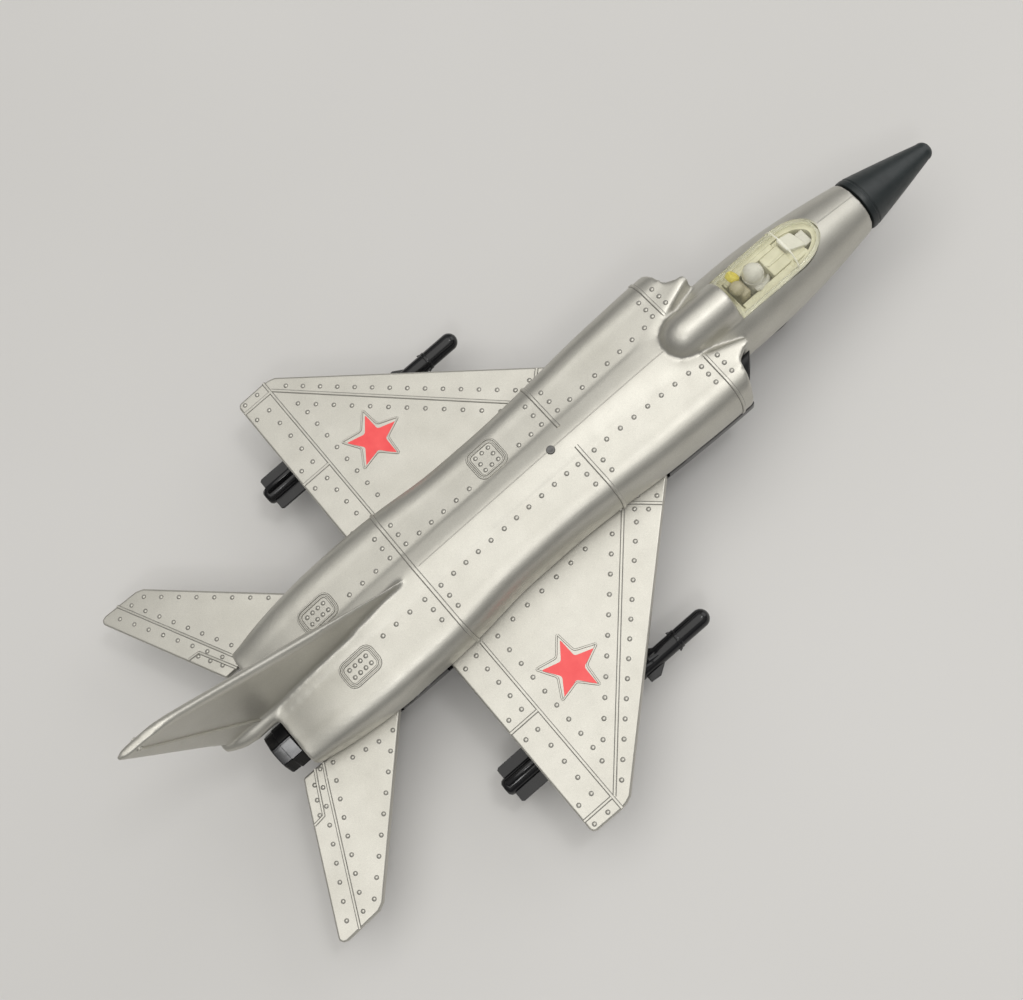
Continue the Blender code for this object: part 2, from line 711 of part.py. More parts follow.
def intake_duct(side, name):
    """A black duct that is closed at its rear, inside a trunk."""
    outer = [(8.3, -3.1), (10.5, -3.1), (11.9, -1.9), (12.4, 2.2), (11.6, 5.0), (10.3, 6.9), (8.3, 7.7)]
    inner = [(8.8, -2.6), (10.3, -2.6), (11.4, -1.7), (11.9, 2.0), (11.2, 4.6), (10.0, 6.4), (8.8, 7.1)]
    rings = [[(x, side * y, z) for y, z in outer] for x in (58.5, 66.4)]
    bores = [[(x, side * y, z) for y, z in inner] for x in (59.2, 69.0)]
    duct = new_object(name, loft(name, rings), BLACK)
    cut(duct, new_object(name + "_bore", loft(name + "_bore", bores)))


def nozzle(side, name):
    """An exhaust with a closed throat. Its spigot sits in the rear wall of both body halves."""
    length = BODY_REAR_X - GAP - NOZZLE_END_X
    rear = NOZZLE_RADIUS
    spigot = [(0, length + 2.4), (SPIGOT_RADIUS, length + 2.4), (SPIGOT_RADIUS, length)]
    outside = [(rear - 0.15, length), (rear, length - 0.4), (rear, 1.6), (rear - 0.45, 0.0)]
    throat = [(rear - 1.0, 0.0), (rear - 1.1, length - 1.2), (1.2, length - 1.2), (0.9, 1.6), (0, 1.2)]
    profile = spigot + outside + throat
    mesh = turned(name, profile, (NOZZLE_END_X, side * NOZZLE_Y, NOZZLE_Z), (1, 0, 0), 24)
    new_object(name, mesh, BLACK)


def missile(side, name):
    """A missile with its ring, small foreplanes, cruciform fins and the pylon that is moulded to it."""
    tail, radius, y, z = MISSILE_TAIL_X, MISSILE_RADIUS, side * MISSILE_Y, MISSILE_Z
    length = MISSILE_NOSE_X - tail
    profile = [(0, length)]
    for angle in (30, 60, 90):
        a = math.radians(angle)
        profile.append((radius * math.sin(a), length - radius * (1 - math.cos(a))))
    ring = radius + 0.2
    for offset, size in ((0.4, radius), (0.2, ring), (-0.4, ring), (-0.6, radius)):
        profile.append((size, MISSILE_RING_X - tail + offset))
    profile += [(radius, 0.8), (radius - 0.5, 0), (0, 0)]
    body = new_object(name, turned(name, profile, (tail, y, z), (1, 0, 0), 20), BLACK)
    reach = 3.6
    port_half = [(tail + 12.5, radius - 0.4), (tail + 10.5, reach), (tail + 0.9, reach)]
    flat_fin = [(u, -v) for u, v in reversed(port_half)] + port_half
    mid_fin = [(25.6, -2.9), (28.2, -1.2), (28.2, 1.2), (25.6, 2.9), (23.6, 2.7), (23.6, -2.7)]
    foreplane = [(30.4, -2.15), (31.6, -1.9), (31.6, 1.9), (30.4, 2.15)]
    wing_low = -WING_THICKNESS - WING_ANHEDRAL * (MISSILE_Y - WING_ROOT_Y) - 0.25
    pylon = [(3.5, z), (28.5, z + radius - 0.4), (25.2, z + radius + 0.5)]
    pylon += [(23.2, wing_low - 0.1), (3.5, wing_low - 0.1)]
    pieces = []
    for label, outline in (("fin", flat_fin), ("mid", mid_fin), ("foreplane", foreplane)):
        across = plate(f"{name}_{label}", [(u, v + y) for u, v in outline], z - 0.35, z + 0.35)
        pieces.append(new_object(f"{name}_{label}_across", across))
    down = upright(f"{name}_upright", [(u, v + z) for u, v in flat_fin], y, 0.75)
    pieces.append(new_object(f"{name}_upright_fin", down))
    pieces.append(new_object(f"{name}_pylon", upright(f"{name}_pylon", pylon, y, 1.3)))
    join(body, *pieces)


def rivets():
    """Each rivet has its head under the belly. Only the middle one comes out on the spine."""
    for name, x in RIVET_XS.items():
        top = spine_z(x) + 0.25 if name == "centre_rivet" else flat_z(x) - 3.0
        head = BELLY_Z - 0.15
        length = top - head
        shank = [(0, length), (0.7 * RIVET_RADIUS, length), (RIVET_RADIUS, length - 0.25), (RIVET_RADIUS, 0)]
        profile = shank + [(1.7, 0), (1.6, -0.35), (1.0, -0.6), (0, -0.65)]
        new_object(name, turned(name, profile, (x, 0, head), (0, 0, 1), 16), STEEL)


def wheel_profile(radius, width, bore):
    """A tyre with round shoulders and a hub, with a through bore."""
    half = width / 2
    face = [
        (bore, half * 0.8),
        (radius * 0.42, half * 0.8),
        (radius * 0.5, half * 0.55),
        (radius * 0.62, half * 0.55),
        (radius * 0.7, half),
        (radius * 0.9, half),
        (radius, half * 0.5),
    ]
    return face + [(r, -along) for r, along in reversed(face)] + face[:1]


def nose_gear():
    axle_z = NOSE_WHEEL_RADIUS - RIDE_HEIGHT
    start, end = (NOSE_GEAR_X, 0, axle_z + 1.0), (NOSE_GEAR_X, 0, -1.2)
    strut = rod("nose_leg", NOSE_LEG_RADIUS, start, end, (0, 0, 1), 16)
    leg = new_object("nose_leg", strut, STEEL)
    flange = rod("nose_leg_flange", 2.1, (NOSE_GEAR_X, 0, -2.6), (NOSE_GEAR_X, 0, -2.0), (0, 0, 1), 16)
    hub = rod("nose_leg_hub", 1.5, (NOSE_GEAR_X, -1.35, axle_z), (NOSE_GEAR_X, 1.35, axle_z), (0, 1, 0), 16)
    join(leg, new_object("nose_leg_flange", flange), new_object("nose_leg_hub", hub))
    bore_radius = AXLE_RADIUS + AXLE_CLEARANCE
    bore = rod("nose_bore", bore_radius, (NOSE_GEAR_X, -3, axle_z), (NOSE_GEAR_X, 3, axle_z), (0, 1, 0), 16)
    cut(leg, new_object("nose_leg_bore", bore))
    turning = pivot("nose_wheels_pivot", NOSE_GEAR_X, 0, axle_z)
    start, end = (NOSE_GEAR_X, -3.5, axle_z), (NOSE_GEAR_X, 3.5, axle_z)
    new_object("nose_axle", rod("nose_axle", AXLE_RADIUS, start, end, (0, 1, 0), 16), STEEL, turning)
    for side, name in ((1, "port_nose_wheel"), (-1, "starboard_nose_wheel")):
        profile = wheel_profile(NOSE_WHEEL_RADIUS, 1.7, AXLE_RADIUS + 0.05)
        mesh = turned(name, profile, (NOSE_GEAR_X, side * 2.4, axle_z), (0, 1, 0), 24)
        new_object(name, mesh, TYRE, turning)


def main_gear(side, prefix):
    axle_z = MAIN_WHEEL_RADIUS - RIDE_HEIGHT
    x, y = MAIN_GEAR_X, side * MAIN_LEG_Y
    strut = rod("leg", MAIN_LEG_RADIUS, (x, y, axle_z + 1.0), (x, y, -2.2), (0, 0, 1), 16)
    leg = new_object(f"{prefix}_main_leg", strut, STEEL)
    flange = rod("flange", 2.0, (x, y, -3.1), (x, y, -2.5), (0, 0, 1), 16)
    hub = rod("hub", 1.6, (x, y - 1.2, axle_z), (x, y + 1.2, axle_z), (0, 1, 0), 16)
    join(leg, new_object(f"{prefix}_leg_flange", flange), new_object(f"{prefix}_leg_hub", hub))
    bore = rod("bore", AXLE_RADIUS + 0.1, (x, y - 3, axle_z), (x, y + 3, axle_z), (0, 1, 0), 16)
    cut(leg, new_object(f"{prefix}_leg_bore", bore))
    inner_y = MAIN_LEG_Y - 1.4
    tip = MAIN_WHEEL_Y + 2.0 - inner_y
    profile = [(0, tip), (0.9, tip), (1.2, tip - 0.3), (1.2, tip - 0.6)]
    profile += [(AXLE_RADIUS, tip - 0.6), (AXLE_RADIUS, 0), (0, 0)]
    start = (x, side * inner_y, axle_z)
    new_object(f"{prefix}_main_axle", turned("axle", profile, start, (0, side, 0), 16), STEEL)
    turning = pivot(f"{prefix}_main_wheel_pivot", x, side * MAIN_WHEEL_Y, axle_z)
    profile = wheel_profile(MAIN_WHEEL_RADIUS, 2.3, AXLE_RADIUS + AXLE_CLEARANCE)
    mesh = turned("wheel", profile, (x, side * MAIN_WHEEL_Y, axle_z), (0, 1, 0), 24)
    new_object(f"{prefix}_main_wheel", mesh, TYRE, turning)


for old in list(bpy.data.objects):
    bpy.data.objects.remove(old)
PARTS = bpy.data.collections.new("toy_airplane")
HELPERS = bpy.data.collections.new("cutters")
for collection in (PARTS, HELPERS):
    bpy.context.scene.collection.children.link(collection)

fuselage_casting()
lower_body()
wing_casting()
tailplane_casting()
nose_cone()
canopy()
cockpit_tub()
seat_and_pilot()
rivets()
nose_gear()
for sign, word in ((1, "port"), (-1, "starboard")):
    intake_duct(sign, f"{word}_intake_duct")
    nozzle(sign, f"{word}_nozzle")
    missile(sign, f"{word}_missile")
    main_gear(sign, word)
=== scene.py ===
"""The looks of a die-cast toy jet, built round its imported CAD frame.

Lengths are millimetres on the toy's drawing: X runs forward from the wings' trailing edge, Y to port and Z
up from the wings' upper face. place() turns them into the frame's metres by the CAD nodes' own boxes.
"""

from math import asin, cos, hypot, pi, radians, sin, sqrt

import bmesh
import bpy
from mathutils import Matrix, Vector
from mathutils.bvhtree import BVHTree


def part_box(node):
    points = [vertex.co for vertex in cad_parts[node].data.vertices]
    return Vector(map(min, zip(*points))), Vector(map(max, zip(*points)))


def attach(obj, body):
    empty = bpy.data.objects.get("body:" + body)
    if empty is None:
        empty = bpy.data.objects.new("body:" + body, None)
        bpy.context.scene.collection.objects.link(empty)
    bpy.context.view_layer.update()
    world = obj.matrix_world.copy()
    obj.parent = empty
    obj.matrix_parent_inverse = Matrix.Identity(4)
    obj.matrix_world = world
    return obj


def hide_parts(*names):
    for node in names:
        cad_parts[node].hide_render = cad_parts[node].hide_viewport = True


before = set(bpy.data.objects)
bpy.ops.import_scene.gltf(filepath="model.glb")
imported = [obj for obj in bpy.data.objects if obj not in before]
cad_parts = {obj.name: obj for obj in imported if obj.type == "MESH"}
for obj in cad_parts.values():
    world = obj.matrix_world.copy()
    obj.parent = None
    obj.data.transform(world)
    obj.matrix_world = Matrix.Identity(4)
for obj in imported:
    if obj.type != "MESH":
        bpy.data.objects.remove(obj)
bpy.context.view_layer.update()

MM = 0.001
GAP = 0.3
VOXEL = 0.36
SIDES = ((1, "port"), (-1, "starboard"))

# Driving dimensions

NOSE_TIP_X = 121.3
BODY_REAR_X = -27.4
TRUNK_FRONT_X = 74.0
LOWER_FRONT_X = 68.2
CONE_BASE_X = 103.4
CONE_BASE_RADIUS = 5.0
CONE_AXIS_Z = 2.2
CONE_DROOP = 2.3
NOSE_SHELL_REAR_X = 56.0
SHOULDER_Z = 3.5
WALL = 1.3

WING_ROOT_Y = 14.0
WING_ANHEDRAL = 0.057
WING_THICKNESS = 1.6
TAIL_TOP_Z = -1.2
TAIL_ANHEDRAL = 0.13
TAIL_THICKNESS = 1.4

FIN_TOP_Z = 36.0
FIN_FOOT_Z = 6.0
FIN_LEADING = ((FIN_FOOT_Z, 9.94), (34.4, -33.0), (35.4, -35.0), (FIN_TOP_Z, -37.4))
FIN_TRAILING = ((FIN_FOOT_Z, -36.2), (FIN_TOP_Z, -44.0))
FAIRING_Z = 5.5

CANOPY_REAR_X = 74.8
CANOPY_FRONT_X = 94.4
CANOPY_ROUND = 7.0
CANOPY_HALF_WIDTH = 4.2
CANOPY_TOP_Z = 14.0
CANOPY_BOTTOM_Z = 8.7
CANOPY_WALL = 0.5
CANOPY_BOW_X = 87.0
SILL_Z = 9.6
HUMP_END_X = 61.2
TUB_FLOOR_Z = 4.4

LIP_TIP_X = 72.4
LIP_TIP_Y = 8.1
DUCT_REAR_X = 58.5
DUCT_FRONT_X = 72.2
DUCT_INNER_Y = 8.3
DUCT_SWEEP = 0.98

BELLY_Z = -5.0
BELLY_PANEL = ((18.0, -6.0), (31.0, 6.0))
RIVET_XS = {"front_rivet": 60.0, "centre_rivet": 36.0, "rear_rivet": -16.0}

NOZZLE_Y = 5.7
NOZZLE_Z = 0.1
NOZZLE_RADIUS = 4.4
NOZZLE_END_X = -32.0
PETALS = 8

MISSILE_Y = 34.4
MISSILE_Z = -7.2
MISSILE_RADIUS = 1.65
MISSILE_NOSE_X = 38.6
MISSILE_RING_X = 31.7
MISSILE_TAIL_X = -6.9

RIDE_HEIGHT = 15.0
AXLE_RADIUS = 0.6
NOSE_GEAR_X = 84.0
NOSE_WHEEL_RADIUS = 3.2
NOSE_WHEEL_Y = 2.4
MAIN_GEAR_X = 14.0
MAIN_LEG_Y = 7.4
MAIN_WHEEL_RADIUS = 4.0
MAIN_WHEEL_Y = 10.3

FORWARD, TO_PORT, UP = Vector((1, 0, 0)), Vector((0, 1, 0)), Vector((0, 0, 1))
NOSE_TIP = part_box("nose_cone")[1].x
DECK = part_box("wing_casting")[1].z


def place(x, y, z):
    return Vector((NOSE_TIP + (x - NOSE_TIP_X) * MM, y * MM, DECK + z * MM))


def drawn(point):
    """Drawing millimetres from a point in the frame."""
    return ((point.x - NOSE_TIP) / MM + NOSE_TIP_X, point.y / MM, (point.z - DECK) / MM)


def track(x, *stations):
    """The value at x on the straight lines through (x, value) stations."""
    if x <= stations[0][0]:
        return stations[0][1]
    for (x0, v0), (x1, v1) in zip(stations, stations[1:]):
        if x <= x1:
            return v0 + (v1 - v0) * (x - x0) / (x1 - x0)
    return stations[-1][1]


def curve(*stations, reach=3.0):
    """A function of x that follows its stations with the corners rounded off."""
    def at(x):
        return sum(track(x + reach * k / 3, *stations) for k in range(-3, 4)) / 7

    return at


def spread(start, end, count):
    return [start + (end - start) * i / (count - 1) for i in range(count)]


def arc(start, end, count):
    """Angles spread between two numbers of degrees."""
    return [radians(angle) for angle in spread(start, end, count)]


def circle(count):
    return [2 * pi * i / count for i in range(count)]


def oval(x, y, z, width, height, count):
    """Points on an ellipse that faces forward."""
    return [(x, y + width * cos(a), z + height * sin(a)) for a in circle(count)]


# Materials


class Look:
    """A Principled material under construction, with shorthand for its nodes."""

    def __init__(self, name):
        self.material = bpy.data.materials.new(name)
        self.material.use_nodes = True
        self.nodes = self.material.node_tree.nodes
        self.links = self.material.node_tree.links
        self.shader = self.nodes["Principled BSDF"]
        self.place = self.add("TexCoord").outputs["Object"]

    def set(self, **values):
        for name, value in values.items():
            self.shader.inputs[name.replace("_", " ")].default_value = value
        return self

    def add(self, kind, **inputs):
        node = self.nodes.new("ShaderNode" + kind)
        for name, value in inputs.items():
            node.inputs[name].default_value = value
        return node

    def noise(self, scale, detail, stretch=None):
        node = self.add("TexNoise", Scale=scale, Detail=detail, Roughness=0.5)
        source = self.place
        if stretch:
            mapping = self.add("Mapping", Scale=stretch)
            self.links.new(source, mapping.inputs["Vector"])
            source = mapping.outputs["Vector"]
        self.links.new(source, node.inputs["Vector"])
        return node.outputs["Fac"]

    def ramp(self, source, *stops):
        """A value or a colour by (position, value) stops."""
        node = self.add("ValToRGB")
        ramp = node.color_ramp
        while len(ramp.elements) < len(stops):
            ramp.elements.new(0.5)
        for element, (position, value) in zip(ramp.elements, stops):
            element.position = position
            element.color = (*value, 1) if isinstance(value, tuple) else (value, value, value, 1)
        self.links.new(source, node.inputs["Fac"])
        return node.outputs["Color"]

    def multiplied(self, first, second):
        node = self.add("Mix")
        node.data_type = "RGBA"
        node.blend_type = "MULTIPLY"
        node.inputs[0].default_value = 1.0
        self.links.new(first, node.inputs[6])
        self.links.new(second, node.inputs[7])
        return node.outputs[2]

    def to(self, socket, source):
        self.links.new(source, self.shader.inputs[socket])

    def rough(self, noise, low, high):
        self.to("Roughness", self.ramp(self.noise(*noise), (0.25, low), (0.75, high)))

    def bump(self, noise, height, strength):
        source = self.noise(*noise)
        node = self.add("Bump", Distance=height * MM, Strength=strength)
        if self.shader.inputs["Normal"].is_linked:
            self.links.new(self.shader.inputs["Normal"].links[0].from_socket, node.inputs["Normal"])
        self.links.new(source, node.inputs["Height"])
        self.to("Normal", node.outputs["Normal"])


def surface(name, tones, rough=None, bumps=(), **settings):
    """A material from noises, each (scale, detail) or (scale, detail, stretch).

    tones is (noise, dark, light), rough is (noise, low, high) and each bump is (noise, height, strength).
    """
    look = Look(name).set(**settings)
    noise, dark, light = tones
    look.to("Base Color", look.ramp(look.noise(*noise), (0.3, dark), (0.7, light)))
    if rough:
        look.rough(*rough)
    for bump in bumps:
        look.bump(*bump)
    return look.material


def silver_paint():
    """Sprayed silver with fine flake, a little mottling and a soft orange peel."""
    look = Look("silver_paint").set(Metallic=0.8, Roughness=0.4, Coat_Weight=0.1, Coat_Roughness=0.35)
    base = look.ramp(look.noise(90, 4), (0.3, (0.56, 0.545, 0.49)), (0.7, (0.61, 0.595, 0.54)))
    flake = look.ramp(look.noise(9000, 2), (0.35, 0.86), (0.65, 1.0))
    look.to("Base Color", look.multiplied(base, flake))
    look.rough((300, 5), 0.38, 0.47)
    look.bump((1500, 2), 0.02, 0.35)
    look.bump((9000, 1), 0.006, 0.4)
    return look.material


def clear_plastic():
    """Clear plastic that has yellowed. Most light passes straight through it."""
    look = Look("clear_plastic")
    look.set(Roughness=0.08, Base_Color=(0.86, 0.84, 0.60, 1), Specular_IOR_Level=0.6)
    look.rough((400, 4), 0.05, 0.14)
    clear = look.add("BsdfTransparent", Color=(0.99, 0.99, 0.965, 1))
    edge = look.add("LayerWeight", Blend=0.35)
    share = look.ramp(edge.outputs["Facing"], (0.0, 0.04), (0.55, 0.10), (0.92, 0.5))
    mix = look.add("MixShader")
    look.links.new(share, mix.inputs["Fac"])
    look.links.new(clear.outputs["BSDF"], mix.inputs[1])
    look.links.new(look.shader.outputs["BSDF"], mix.inputs[2])
    look.links.new(mix.outputs["Shader"], look.nodes["Material Output"].inputs["Surface"])
    return look.material


def black_plastic(name, shine):
    """Moulded plastic with faint handling marks."""
    tones = ((200, 4), (0.006, 0.006, 0.007), (0.012, 0.012, 0.013))
    rough = ((500, 6, (0.3, 1, 1)), shine - 0.06, shine + 0.10)
    return surface(name, tones, rough, [((1200, 3), 0.01, 0.3)], Specular_IOR_Level=0.42)


def moulded(name, dark, light, shine=0.45):
    """Matt coloured plastic or brushed-on paint."""
    rough = ((900, 3), shine - 0.08, shine + 0.1)
    return surface(name, ((500, 4), dark, light), rough, [((2000, 3), 0.015, 0.5)], Roughness=shine)


def dull_steel(name, tone):
    tones = ((900, 5), (tone * 0.7,) * 3, (tone, tone * 0.98, tone * 0.95))
    return surface(name, tones, ((1500, 4), 0.3, 0.5), [((3000, 3), 0.02, 0.6)], Metallic=0.9, Roughness=0.4)


SILVER = silver_paint()
# Painted shade: the dull grey painted beside raised lines and rivets, where their crevices lie in shade
CREVICE_SHADE = surface(
    "crevice_grime", ((700, 3), (0.17, 0.165, 0.15), (0.30, 0.29, 0.27)), Metallic=0.3, Roughness=0.6,
)
RED = surface(
    "red_paint", ((400, 4), (0.90, 0.065, 0.07), (0.97, 0.10, 0.10)),
    None, [((2500, 2), 0.015, 0.5)], Roughness=0.42, Coat_Weight=0.15, Coat_Roughness=0.3,
)
BLACK = black_plastic("black_plastic", 0.14)
DULL_BLACK = black_plastic("throat_black", 0.5)
NOSE_BLACK = surface(
    "nose_black", ((60, 3), (0.010, 0.013, 0.014), (0.020, 0.027, 0.028)), ((800, 5), 0.34, 0.5),
    [((2200, 2), 0.02, 0.5), ((120, 3, (0.2, 3, 3)), 0.03, 0.25)], Specular_IOR_Level=0.45,
)
CLEAR = clear_plastic()
# The same plastic seen edge on, where it holds more light
CLEAR_EDGE = surface(
    "clear_edge", ((300, 3), (0.84, 0.83, 0.70), (0.93, 0.92, 0.80)), None, [((900, 2), 0.01, 0.3)],
    Roughness=0.15, Transmission_Weight=0.35, IOR=1.49, Specular_IOR_Level=0.7,
)
CREAM = moulded("cream_plastic", (0.70, 0.68, 0.54), (0.80, 0.78, 0.64))
BEIGE = moulded("beige_plastic", (0.40, 0.36, 0.26), (0.52, 0.47, 0.36))
YELLOW = moulded("yellow_paint", (0.66, 0.55, 0.05), (0.78, 0.68, 0.12))
HELMET = moulded("helmet_paint", (0.62, 0.61, 0.60), (0.74, 0.73, 0.72), 0.3)
WHITE = moulded("white_plastic", (0.72, 0.71, 0.68), (0.80, 0.79, 0.76), 0.35)
STEEL = dull_steel("dull_steel", 0.30)
RIVET_STEEL = dull_steel("rivet_steel", 0.16)
TYRE = surface(
    "wheel_black", ((600, 4), (0.016, 0.016, 0.016), (0.032, 0.031, 0.030)),
    None, [((2500, 4), 0.03, 0.6)], Roughness=0.62,
)


# Objects and modelling helpers


def add_object(name, data):
    obj = bpy.data.objects.new(name, data)
    bpy.context.scene.collection.objects.link(obj)
    return obj


def new_piece(name, mesh, *materials, body="airframe", replaces=None, sharp=35):
    obj = add_object(name, mesh)
    mesh.name = name
    for material in materials:
        mesh.materials.append(material)
    mesh.shade_smooth()
    mesh.set_sharp_from_angle(angle=radians(sharp))
    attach(obj, body)
    if replaces:
        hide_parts(replaces)
    return obj


def configure(thing, **settings):
    for name, value in settings.items():
        setattr(thing, name, value)


def modify(obj, kind, **settings):
    configure(obj.modifiers.new(kind.lower(), kind), **settings)


def round_edges(piece, width, segments, angle=30.0, harden=True):
    modify(piece, "BEVEL", width=width * MM, segments=segments, limit_method="ANGLE",
           angle_limit=radians(angle), harden_normals=harden)


def mesh_from(bm):
    bmesh.ops.recalc_face_normals(bm, faces=bm.faces)
    mesh = bpy.data.meshes.new("mesh")
    bm.to_mesh(mesh)
    bm.free()
    return mesh


def loft_into(bm, rings):
    """A closed solid through rings of drawing points. Returns its side faces, a list for each step."""
    made = [[bm.verts.new(place(*point)) for point in ring] for ring in rings]
    count = len(made[0])
    sides = []
    for ring, after in zip(made, made[1:]):
        corners = [(ring[i], ring[(i + 1) % count], after[(i + 1) % count], after[i]) for i in range(count)]
        sides.append([bm.faces.new(four) for four in corners])
    ends = [bm.faces.new(made[0]), bm.faces.new(list(reversed(made[-1])))]
    bmesh.ops.recalc_face_normals(bm, faces=sum(sides, ends))
    return sides


def loft(rings):
    bm = bmesh.new()
    loft_into(bm, rings)
    return mesh_from(bm)


def loft_at(stations, ring, *how):
    return loft([ring(station, *how) for station in stations])


def turn_into(bm, profile, start, axis, steps, squash=None):
    """A solid of revolution from (radius, distance along the axis) points. Radius 0 closes it."""
    axes = UP.rotation_difference(Vector(axis)).to_matrix()
    rings = []
    for radius, along_axis in profile:
        ring = []
        for angle in circle(steps) if radius > 0 else (0.0,):
            local = Vector((radius * cos(angle), radius * sin(angle), along_axis))
            if squash and radius > 0:
                local = squash(local, angle)
            ring.append(bm.verts.new(place(*(Vector(start) + axes @ local))))
        rings.append(ring)
    faces = []
    for ring, after in zip(rings, rings[1:]):
        for i in range(steps):
            j = (i + 1) % steps
            corners = [ring[i % len(ring)], ring[j % len(ring)], after[j % len(after)], after[i % len(after)]]
            corners = list(dict.fromkeys(corners))
            if len(corners) > 2:
                faces.append(bm.faces.new(corners))
    bmesh.ops.recalc_face_normals(bm, faces=faces)


def turned(*how):
    bm = bmesh.new()
    turn_into(bm, *how)
    return mesh_from(bm)


def level(u, v, w):
    return (u, v, w)


def prism_into(bm, outline, low, high, lay=level):
    """A prism from a flat outline. lay(u, v, w) gives a drawing point."""
    loft_into(bm, [[lay(u, v, w) for u, v in outline] for w in (low, high)])


def prisms(*shapes):
    """A mesh of upright prisms from (outline, low, high) shapes."""
    bm = bmesh.new()
    for shape in shapes:
        prism_into(bm, *shape)
    return mesh_from(bm)


def block(low, high):
    """The upright prism between two corners."""
    outline = [(low[0], low[1]), (high[0], low[1]), (high[0], high[1]), (low[0], high[1])]
    return outline, low[2], high[2]


def evaluated(obj):
    bpy.context.view_layer.update()
    graph = bpy.context.evaluated_depsgraph_get()
    return bpy.data.meshes.new_from_object(obj.evaluated_get(graph))


def baked_boolean(mesh, cutter, operation="DIFFERENCE"):
    """The mesh after a Boolean with another mesh."""
    target, tool = add_object("target", mesh), add_object("tool", cutter)
    modify(target, "BOOLEAN", object=tool, operation=operation, solver="EXACT")
    result = evaluated(target)
    bpy.data.objects.remove(target)
    bpy.data.objects.remove(tool)
    return result


def cast_as_one(meshes, smoothing):
    """One skin round overlapping solids, with inside corners filled and edges softened like a casting's."""
    bm = bmesh.new()
    for mesh in meshes:
        bm.from_mesh(mesh)
    obj = add_object("casting", mesh_from(bm))
    modify(obj, "REMESH", mode="VOXEL", voxel_size=VOXEL * MM, adaptivity=0.0)
    modify(obj, "SMOOTH", factor=0.5, iterations=smoothing)
    mesh = evaluated(obj)
    bpy.data.objects.remove(obj)
    return mesh


def soften(mesh, where, times):
    """Smooths the mesh again where a test on drawing coordinates holds."""
    bm = bmesh.new()
    bm.from_mesh(mesh)
    chosen = [vert for vert in bm.verts if where(*drawn(vert.co))]
    for _ in range(times):
        bmesh.ops.smooth_vert(bm, verts=chosen, factor=0.5, use_axis_x=True, use_axis_y=True, use_axis_z=True)
    bm.to_mesh(mesh)
    bm.free()


def tree_of(mesh):
    return BVHTree.FromPolygons([v.co for v in mesh.vertices], [p.vertices for p in mesh.polygons])


def hit(tree, start, direction):
    """(drawing point, normal) where a ray first meets a skin."""
    point, normal, _, _ = tree.ray_cast(start, direction)
    return Vector(drawn(point)), normal


def rounded_loop(points, radius, steps=5):
    """A closed outline with its corners rounded."""
    made = []
    for before, corner, after in zip(points[-1:] + points[:-1], points, points[1:] + points[:1]):
        p, c, n = Vector(before), Vector(corner), Vector(after)
        start = c + (p - c).normalized() * min(radius, (p - c).length / 2.2)
        end = c + (n - c).normalized() * min(radius, (n - c).length / 2.2)
        for t in spread(0, 1, steps):
            made.append(tuple((1 - t) ** 2 * start + 2 * t * (1 - t) * c + t * t * end))
    return made


def rounded_rectangle(x, y, length, breadth, corner):
    points = []
    for quarter, (sx, sy) in enumerate(((1, 1), (-1, 1), (-1, -1), (1, -1))):
        centre = (x + sx * (length / 2 - corner), y + sy * (breadth / 2 - corner))
        for a in arc(90 * quarter, 90 * quarter + 90, 5):
            points.append((centre[0] + corner * cos(a), centre[1] + corner * sin(a)))
    return points + points[:1]


# The body's sections, as in the CAD model but with their corners eased


def parting_z(x):
    return track(x, (-10.0, -1.05), (-3.0, 0.0))


half_width = curve(
    (-28.0, 11.7), (-24.0, 12.6), (-18.0, 13.5), (-10.0, 14.2), (0.0, 14.3), (7.0, 14.0),
    (17.0, 12.9), (30.0, 12.8), (40.0, 13.3), (50.0, 14.1), (62.0, 14.5),
)
flat_z = curve((-28.0, 6.0), (-20.0, 7.9), (-10.0, 8.9), (6.0, 9.5), (36.0, 10.2), (66.0, 10.8), (74.0, 11.0))
spine_z = curve(
    (-28.0, 6.4), (-20.0, 8.5), (-10.0, 9.6), (6.0, 10.2), (36.0, 11.05), (58.0, 11.2), (62.0, 10.9),
)
trunk_inner_y = curve((-28.0, 3.0), (56.0, 3.6), (62.0, 4.0), (66.0, 4.9), (73.0, 7.3), reach=1.5)
lower_z = curve((-28.0, -4.4), (-20.0, -5.0))
nose_radius = curve(
    (56.0, 7.3), (62.0, 7.7), (78.0, 7.7), (84.0, 7.5), (91.0, 6.9), (97.0, 6.05),
    (CONE_BASE_X, CONE_BASE_RADIUS), (110.0, 3.9),
)
nose_axis_z = curve((80.0, 3.0), (CONE_BASE_X, CONE_AXIS_Z), (110.0, 1.9))
canopy_top_z = curve(
    (CANOPY_REAR_X, CANOPY_TOP_Z - 0.1), (84.0, CANOPY_TOP_Z), (90.5, 12.7), (CANOPY_FRONT_X, 10.2),
    reach=1.2,
)


def mirrored(half):
    return half + [(x, -y, z) for x, y, z in reversed(half[:-1])]


